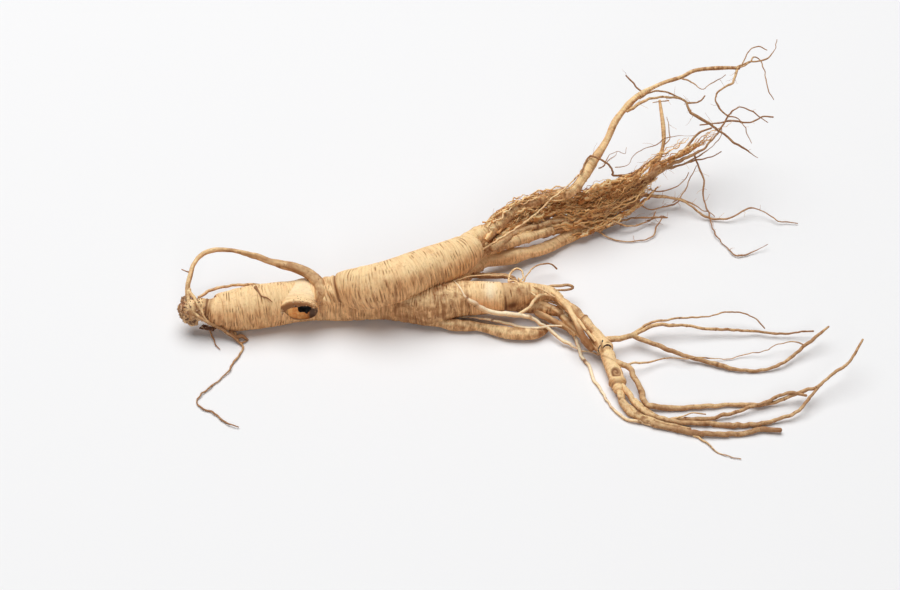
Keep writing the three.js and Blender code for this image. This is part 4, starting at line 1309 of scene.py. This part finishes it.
# ---- Hair roots ----------------------------------------------------------------------------------
# Root hairs a few millimetres long, dry and brown, that stand off the rootlets and fibres here and
# there. Each is a thin thread that leaves the skin, bends and tapers.
hair_growth, give = open_group("GeometryNodeTree", "hair_growth", [
    ("Geometry", "Geometry", None),
    ("Centre", "Vector", (0, 0, 0)),
    ("Reach", "Float", 0.07),
    ("Density", "Float", 20000.0),
    ("Steps", "Int", 7),
    ("Length", "Float", 0.004),
    ("Thickness", "Float", 0.00012),
    ("Seed", "Int", 1),
    ("Material", "Material", None),
], GEOMETRY)


def scatter_near(tree, give):
    """Points scattered over the host's skin, where it is nearer to the centre than the reach."""
    here = add_node(tree, "GeometryNodeInputPosition").outputs[0]
    ends = {0: here, 1: give["Centre"]}
    apart = Value(add_node(tree, "ShaderNodeVectorMath", ends, operation="DISTANCE").outputs["Value"])
    return add_node(tree, "GeometryNodeDistributePointsOnFaces", {
        "Mesh": give["Geometry"], "Selection": apart.maths("LESS_THAN", give["Reach"]),
        "Density": give["Density"], "Seed": give["Seed"],
    }).outputs


scattered = scatter_near(hair_growth, give)
rooted = store(hair_growth, scattered["Points"], "away", scattered["Normal"], "FLOAT_VECTOR")
copying = {"Geometry": rooted, "Amount": give["Steps"]}
copied = add_node(hair_growth, "GeometryNodeDuplicateElements", copying, domain="POINT").outputs
index = Value(add_node(hair_growth, "GeometryNodeInputIndex").outputs[0])
hair = ((index + 0.5) / give["Steps"]).maths("FLOOR")
share = Value(copied["Duplicate Index"]) / (give["Steps"] - 1.0)
reach = give["Length"] * random_share(hair, 22, 0.25, 1.0)
base = Arrow(add_node(hair_growth, "GeometryNodeInputPosition").outputs[0])
lean = Arrow(named(hair_growth, "away", "FLOAT_VECTOR")) + random_arrow(hair, 21) * 0.9
bend = random_arrow(hair, 23) * (reach * (share * share))
wave = noise_at(join_xyz(share * 2.2, hair * 5.17, 0.0))[1] * (reach * share)
thread_strings(
    hair_growth, copied[0], above_table(base + lean * (reach * share) + (bend + wave), 0.0002), hair,
    share, give["Thickness"] * share.spread(1.0, 0.45), 3,
    grain=join_xyz(share * reach, hair * 0.013, 0.0), tone=random_share(hair, 24, 0.5, 1.0), crack_and_shade=0.0,
    material=give["Material"],
)
hair_middle = to_metres([(108, 86, 30)])[0].tolist()
rootlet_hairs = grow(rootlets, hair_growth, "rootlet_hairs", {
    "Density": 40000.0, "Centre": hair_middle, "Seed": 5, "Material": fibre_skin,
})
fibre_hairs = grow(fibre_bundle, hair_growth, "fibre_hairs", {
    "Density": 9000.0, "Centre": hair_middle, "Seed": 6, "Material": fibre_skin, "Reach": 0.12,
})
for hairs in (rootlet_hairs, fibre_hairs):
    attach(hairs, "root")


# ---- Soil crumbs ---------------------------------------------------------------------------------
# Crumbs of dried soil, dark brown, that cling round the bud scars, on the scar's rim and in the
# corner by it. Each is a small rough stone, half sunk in the skin.
crumb_scatter, give = open_group("GeometryNodeTree", "crumb_scatter", [
    ("Geometry", "Geometry", None),
    ("Centre", "Vector", (0, 0, 0)),
    ("Reach", "Float", 0.01),
    ("Density", "Float", 400000.0),
    ("Size", "Float", 0.0004),
    ("Seed", "Int", 1),
    ("Material", "Material", None),
], GEOMETRY)
scattered = scatter_near(crumb_scatter, give)
stone = add_node(crumb_scatter, "GeometryNodeMeshIcoSphere",
                 {"Radius": 1.0, "Subdivisions": 1}).outputs[0]
index = Value(add_node(crumb_scatter, "GeometryNodeInputIndex").outputs[0])
lengths = random_arrow(index, 32) * 0.35 + (1, 1, 1)
placed = add_node(crumb_scatter, "GeometryNodeInstanceOnPoints", {
    "Points": scattered["Points"], "Instance": stone, "Rotation": scattered["Rotation"],
    "Scale": lengths * (give["Size"] * random_share(index, 31, 0.4, 1.3)),
}).outputs[0]
end_tree(crumb_scatter, placed, give["Material"])

dry_soil, tree = new_material("dry_soil")
clod = object_noise(tree, 500.0, 2.0)
colour = mix_colour(clod.ramp(0.35, 0.65), (0.13, 0.055, 0.03, 1), (0.55, 0.36, 0.22, 1))
paint(tree, {"Base Color": colour, "Roughness": clod.spread(0.75, 0.95), "Specular IOR Level": 0.15})

# Each row: the name, the centre in millimetres, the reach, the density, the seed and the size
for name, centre, reach, density, seed, size in (
    ("crown_crumbs", (-134, -14, 11), 0.011, 330000.0, 7, 0.0004),
    ("scar_crumbs", (-69.5, -13, 17), 0.0035, 900000.0, 8, 0.0003),
    ("rim_crumbs", (-76, -16.5, 20.5), 0.0045, 400000.0, 9, 0.00035),
):
    crumbs = grow(root_flesh, crumb_scatter, name, {
        "Centre": to_metres([centre])[0].tolist(), "Reach": reach, "Density": density, "Seed": seed,
        "Size": size, "Material": dry_soil,
    })
    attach(crumbs, "root")
